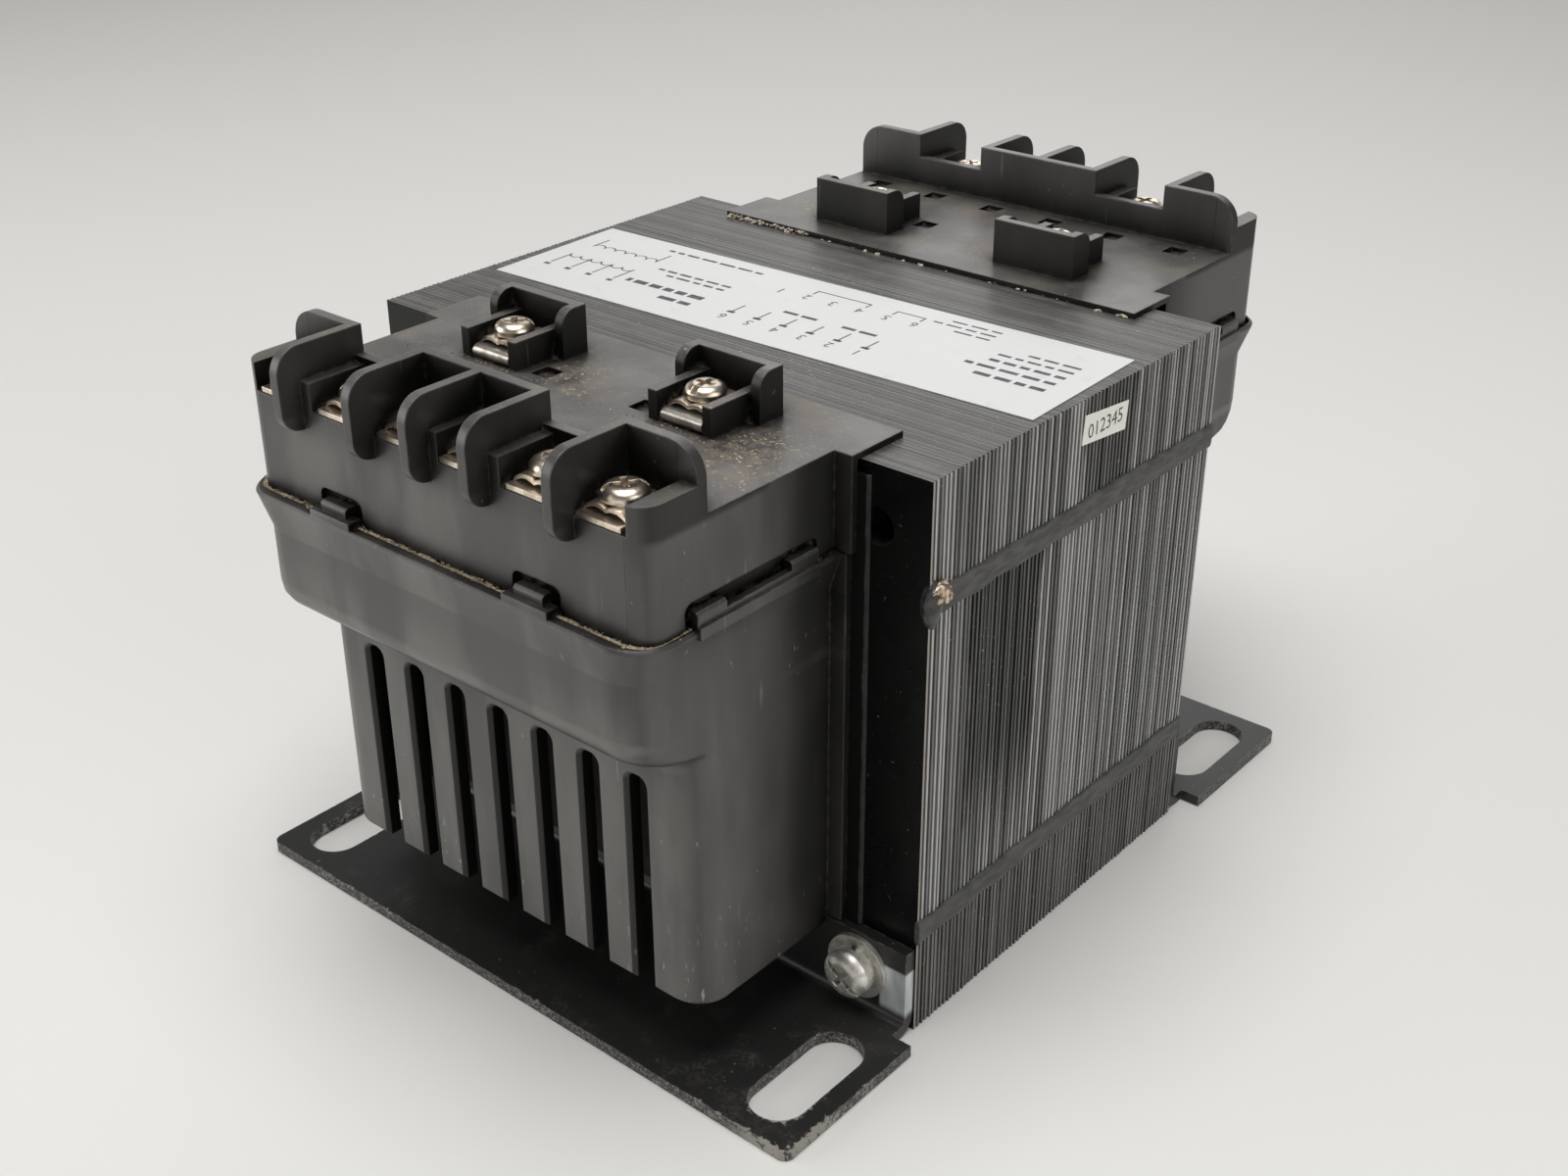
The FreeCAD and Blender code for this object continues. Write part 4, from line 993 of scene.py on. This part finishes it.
def half_ring(along, up, radius, width, side=1):
    """Half a torus pressed flat, its open side down, or up where side is -1."""
    bpy.ops.mesh.primitive_torus_add(major_radius=radius * MM, minor_radius=width / 2 * MM, major_segments=24,
                                     minor_segments=4)
    ring = bpy.context.object
    bpy.ops.object.mode_set(mode="EDIT")
    bpy.ops.mesh.select_all(action="SELECT")
    bpy.ops.mesh.bisect(plane_co=(0, 0, 0), plane_no=(0, side, 0), clear_inner=True, use_fill=True)
    bpy.ops.object.mode_set(mode="OBJECT")
    ring.scale = (1, 1, print_height / (width * MM))
    ring.location = (along * MM, up * MM, print_height / 2)
    return settle(ring)


def number(text, along, up, size):
    """A plain number, made a mesh."""
    bpy.ops.object.text_add()
    figure = bpy.context.object
    figure.data.body = text
    figure.data.size = size * MM
    figure.data.align_x = "CENTER"
    figure.data.extrude = print_height / 2
    figure.data.resolution_u = 3
    only(figure)
    bpy.ops.object.convert(target="MESH")
    figure.location = (along * MM, up * MM, print_height / 2)
    return settle(figure)


print("pens ready, print", print_height / MM, "mm high")

# %% [markdown]
# From left to right there are lines of writing, two rows of numbers with connecting lines, more writing, and
# the winding. Every place is in millimetres from the label's middle, as the reader sees it.

# %% Lay the print out
line_width = 0.35
marks = []
for up, length, width in ((5.2, 15, 1.3), (1.6, 19, 1.1), (-1.8, 16, 1.1), (-4.8, 17, 0.8), (-7.4, 11, 0.8)):
    marks += words(-59, up, length, width, up)
for up, length in ((-12.0, 14), (-14.2, 12), (-9.8, 9)):
    marks += words(-38, up, length, 0.6, up)
for index in range(6):
    along = -22 + 6.4 * index
    marks.append(number(str(index + 1), along, 9.2, 3.4))
    marks.append(upright_bar(along, 3.2, 4.6, line_width))
    marks.append(bar(along - 0.9, 7.6, 1.8, 0.9))
    marks.append(number(str(6 - index), along, -9.2, 3.4))
for start, width in ((-22, 6.4), (-9.2, 12.8)):
    marks.append(bar(start, -12.2, width, line_width))
    marks.append(upright_bar(start, -12.4, 2.2, line_width))
    marks.append(upright_bar(start + width, -12.4, 2.2, line_width))
for along in (-20, -6):
    marks += words(along, 1.2, 8, 1.0, along)
for up, length, width in ((9.5, 9, 1.5), (5.4, 20, 1.7), (-1.0, 15, 0.8), (-3.2, 19, 0.8), (-13.5, 25, 0.8)):
    marks += words(19, up, length, width, up)
for index in range(6):
    marks.append(half_ring(43.0 + 2.9 * index, 0.5, 1.45, line_width))
    marks.append(half_ring(43.0 + 2.9 * index, -6.0, 1.45, line_width, -1))
for along in (41.55, 47.35, 53.15, 58.95):
    marks.append(upright_bar(along, 0.4, 6.4, line_width))
    marks.append(bar(along - 0.7, 8.0, 1.4, 1.0))
for along in (41.55, 58.95):
    marks.append(upright_bar(along, -11.0, 5.1, line_width))
print(len(marks), "marks")

# %% Lay the print on the labels and ink it
sunk = 0.004 * MM
label_print = joined("label_print", marks)
label_print.data.transform(
    Matrix.Translation((0, 0, label_high.z - sunk)) @ Matrix.Rotation(label_turn, 4, "Z"))
side_low, side_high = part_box("side_label")
side_middle = (side_low + side_high) / 2
side_print = number("012345", 0, -1.3, 3.9)
side_print.name = "side_print"
faces_right = Matrix(((0, 0, 1, side_high.x - sunk), (1, 0, 0, side_middle.y), (0, 1, 0, side_middle.z),
                      (0, 0, 0, 1)))
side_print.data.transform(faces_right)
ink = Finish("label_ink", roughness=0.45)
faded = ink.noise(1.2, detail=4).rise(0.50, 0.72)
ink.feed(Base_Color=ink.blend(faded, (0.022, 0.022, 0.024), (0.12, 0.12, 0.12)))
dress(label_print, ink.material)
dress(side_print, ink.material)
print("print:", len(label_print.data.polygons), "faces on top,", len(side_print.data.polygons), "at the side")

# %% [markdown]
# ## Dust and debris
# Beige dust fills the groove between the front block and the cover's rim, and dried flakes stick to the rear
# block's tongue. One crumb is modelled and repeated by an Array modifier, then each copy gets its own place,
# turn and size. A bed of dust lies under the crumbs, so the groove's floor doesn't show.

# %% Crumbs
def crumbs(name, spots, small, large, flat, seed, finish):
    """One crumb at each spot, of a random size and turn, all joined in one piece."""
    bpy.ops.mesh.primitive_ico_sphere_add(subdivisions=1, radius=1)
    heap = bpy.context.object
    heap.name = name
    corners = len(heap.data.vertices)
    modify(heap, "ARRAY", count=len(spots), use_relative_offset=False)
    chance = random.Random(seed)
    for index, spot in enumerate(spots):
        size = small + (large - small) * chance.random() ** 2.5
        turn = Matrix.Rotation(chance.uniform(0, math.tau), 3, "Z")
        turn = turn @ Matrix.Rotation(chance.uniform(-0.5, 0.5), 3, "X")
        sizes = (size * chance.uniform(0.7, 1.3), size * chance.uniform(0.6, 1.1), size * flat)
        shape = turn @ Matrix.Diagonal(sizes)
        for vertex in heap.data.vertices[index * corners:(index + 1) * corners]:
            vertex.co = Vector(spot) + shape @ (vertex.co * chance.uniform(0.75, 1.15))
    dress(heap, finish)
    print(name, len(spots), "crumbs")


def loose_dust(name, dark, pale):
    finish = Finish(name, roughness=0.9)
    speckle = finish.noise(1.8, detail=4, roughness=0.7)
    finish.feed(Base_Color=finish.blend(speckle.rise(0.36, 0.64), dark, pale))
    finish.bump(speckle, 0.15 * MM, 1.0)
    return finish.material


groove_dust = loose_dust("groove_dust", (0.12, 0.090, 0.060), (0.46, 0.38, 0.27))
print("dust:", groove_dust.name)

# %% The groove along the rim
cover_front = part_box("front_coil_cover")[0].y
rim_top = 94.1 * MM
groove_side = 48.6 * MM
groove_front = cover_front + 2.75 * MM
groove_rear = cover_front + 44 * MM
groove_corner = 5.0 * MM
side_steps, corner_steps = 6, 8


def groove_path():
    """Places along the groove, from the right side round the front to the left side."""
    run = groove_front + groove_corner - groove_rear
    right = [Vector((groove_side, groove_rear + run * step / side_steps, 0)) for step in range(side_steps)]
    corner = []
    for step in range(corner_steps + 1):
        angle = math.pi / 2 * step / corner_steps
        corner.append(Vector((groove_side - groove_corner + groove_corner * math.cos(angle),
                              groove_front + groove_corner - groove_corner * math.sin(angle), 0)))
    half = right + corner
    return half + [Vector((-spot.x, spot.y, 0)) for spot in reversed(half)]


def along_path(path, share):
    """The place at a share of a path's whole length."""
    lengths = [(b - a).length for a, b in zip(path, path[1:])]
    reach = share * sum(lengths)
    for a, b, length in zip(path, path[1:], lengths):
        if reach <= length:
            return a.lerp(b, reach / length)
        reach -= length
    return path[-1].copy()


path = groove_path()
print("groove of", round(sum((b - a).length for a, b in zip(path, path[1:])) / MM), "mm")

# %% A bed of dust in the groove
bed_curve = bpy.data.curves.new("dust_bed", "CURVE")
bed_curve.dimensions = "3D"
bed_curve.bevel_depth = 0.8 * MM
bed_curve.bevel_resolution = 2
line = bed_curve.splines.new("POLY")
bed_steps = 260
line.points.add(bed_steps)
for index in range(bed_steps + 1):
    spot = along_path(path, index / bed_steps)
    line.points[index].co = (spot.x, spot.y, rim_top - 0.72 * MM, 1)
    line.points[index].radius = 0.85 + 0.45 * noise.noise(Vector((index / 5, 0, 3)))
bed = bpy.data.objects.new("dust_bed", bed_curve)
bpy.context.scene.collection.objects.link(bed)
only(bed)
bpy.ops.object.convert(target="MESH")
bed = settle(bpy.context.object)
for vertex in bed.data.vertices:
    vertex.co.z += 0.35 * MM * noise.noise(vertex.co / (0.9 * MM))
dress(bed, groove_dust)
print(bed.name, len(bed.data.polygons), "faces")

# %% Crumbs on the bed
crumb_count = 1500
chance = random.Random(5)
spots = []
for index in range(crumb_count):
    spot = along_path(path, chance.random())
    thickness = 0.6 + 0.5 * noise.noise(spot / (9 * MM))
    spots.append(spot + Vector((chance.gauss(0, 0.38), chance.gauss(-0.12, 0.38), 0)) * MM
                 + Vector((0, 0, rim_top + (-0.30 + 0.45 * thickness * chance.random()) * MM)))
crumbs("rim_crumbs", spots, 0.10 * MM, 0.40 * MM, 0.6, 21, groove_dust)

# %% [markdown]
# Flakes of dried varnish cling under the edge of the rear block's tongue, thickest at its left end, and pale
# grit lies before the front block's two holders. The same crumb serves for both, flatter or smaller.

# %% Flakes on the rear tongue
tongue_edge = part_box("rear_terminal_block")[0].y
core_top = top_high.z
flakes = loose_dust("dried_flakes", (0.12, 0.085, 0.055), (0.62, 0.55, 0.45))
corner_flakes, scattered_flakes = 150, 45
spots = []
for index in range(corner_flakes):
    along = -51 + 22 * chance.random() ** 1.5
    spots.append(Vector((along * MM, tongue_edge - chance.uniform(0.0, 0.7) * MM,
                         core_top + chance.uniform(0.05, 0.75) * MM)))
for index in range(scattered_flakes):
    spots.append(Vector((chance.uniform(-51, 51) * MM, tongue_edge - chance.uniform(0.0, 0.5) * MM,
                         core_top + chance.uniform(0.0, 0.3) * MM)))
crumbs("tongue_flakes", spots, 0.15 * MM, 0.8 * MM, 0.45, 22, flakes)

# %% Grit before the holders
grit_count = 420
deck_z = core_top + 1.15 * MM
holder_x, holder_front = 23.3, -57.9
spots = []
for index in range(grit_count):
    side = chance.choice((-1, 1))
    east = side * holder_x + chance.gauss(0, 8)
    north = holder_front - abs(chance.gauss(0, 3.5))
    spots.append(Vector((east * MM, north * MM, deck_z + 0.03 * MM)))
crumbs("deck_crumbs", spots, 0.07 * MM, 0.26 * MM, 0.5, 23, groove_dust)
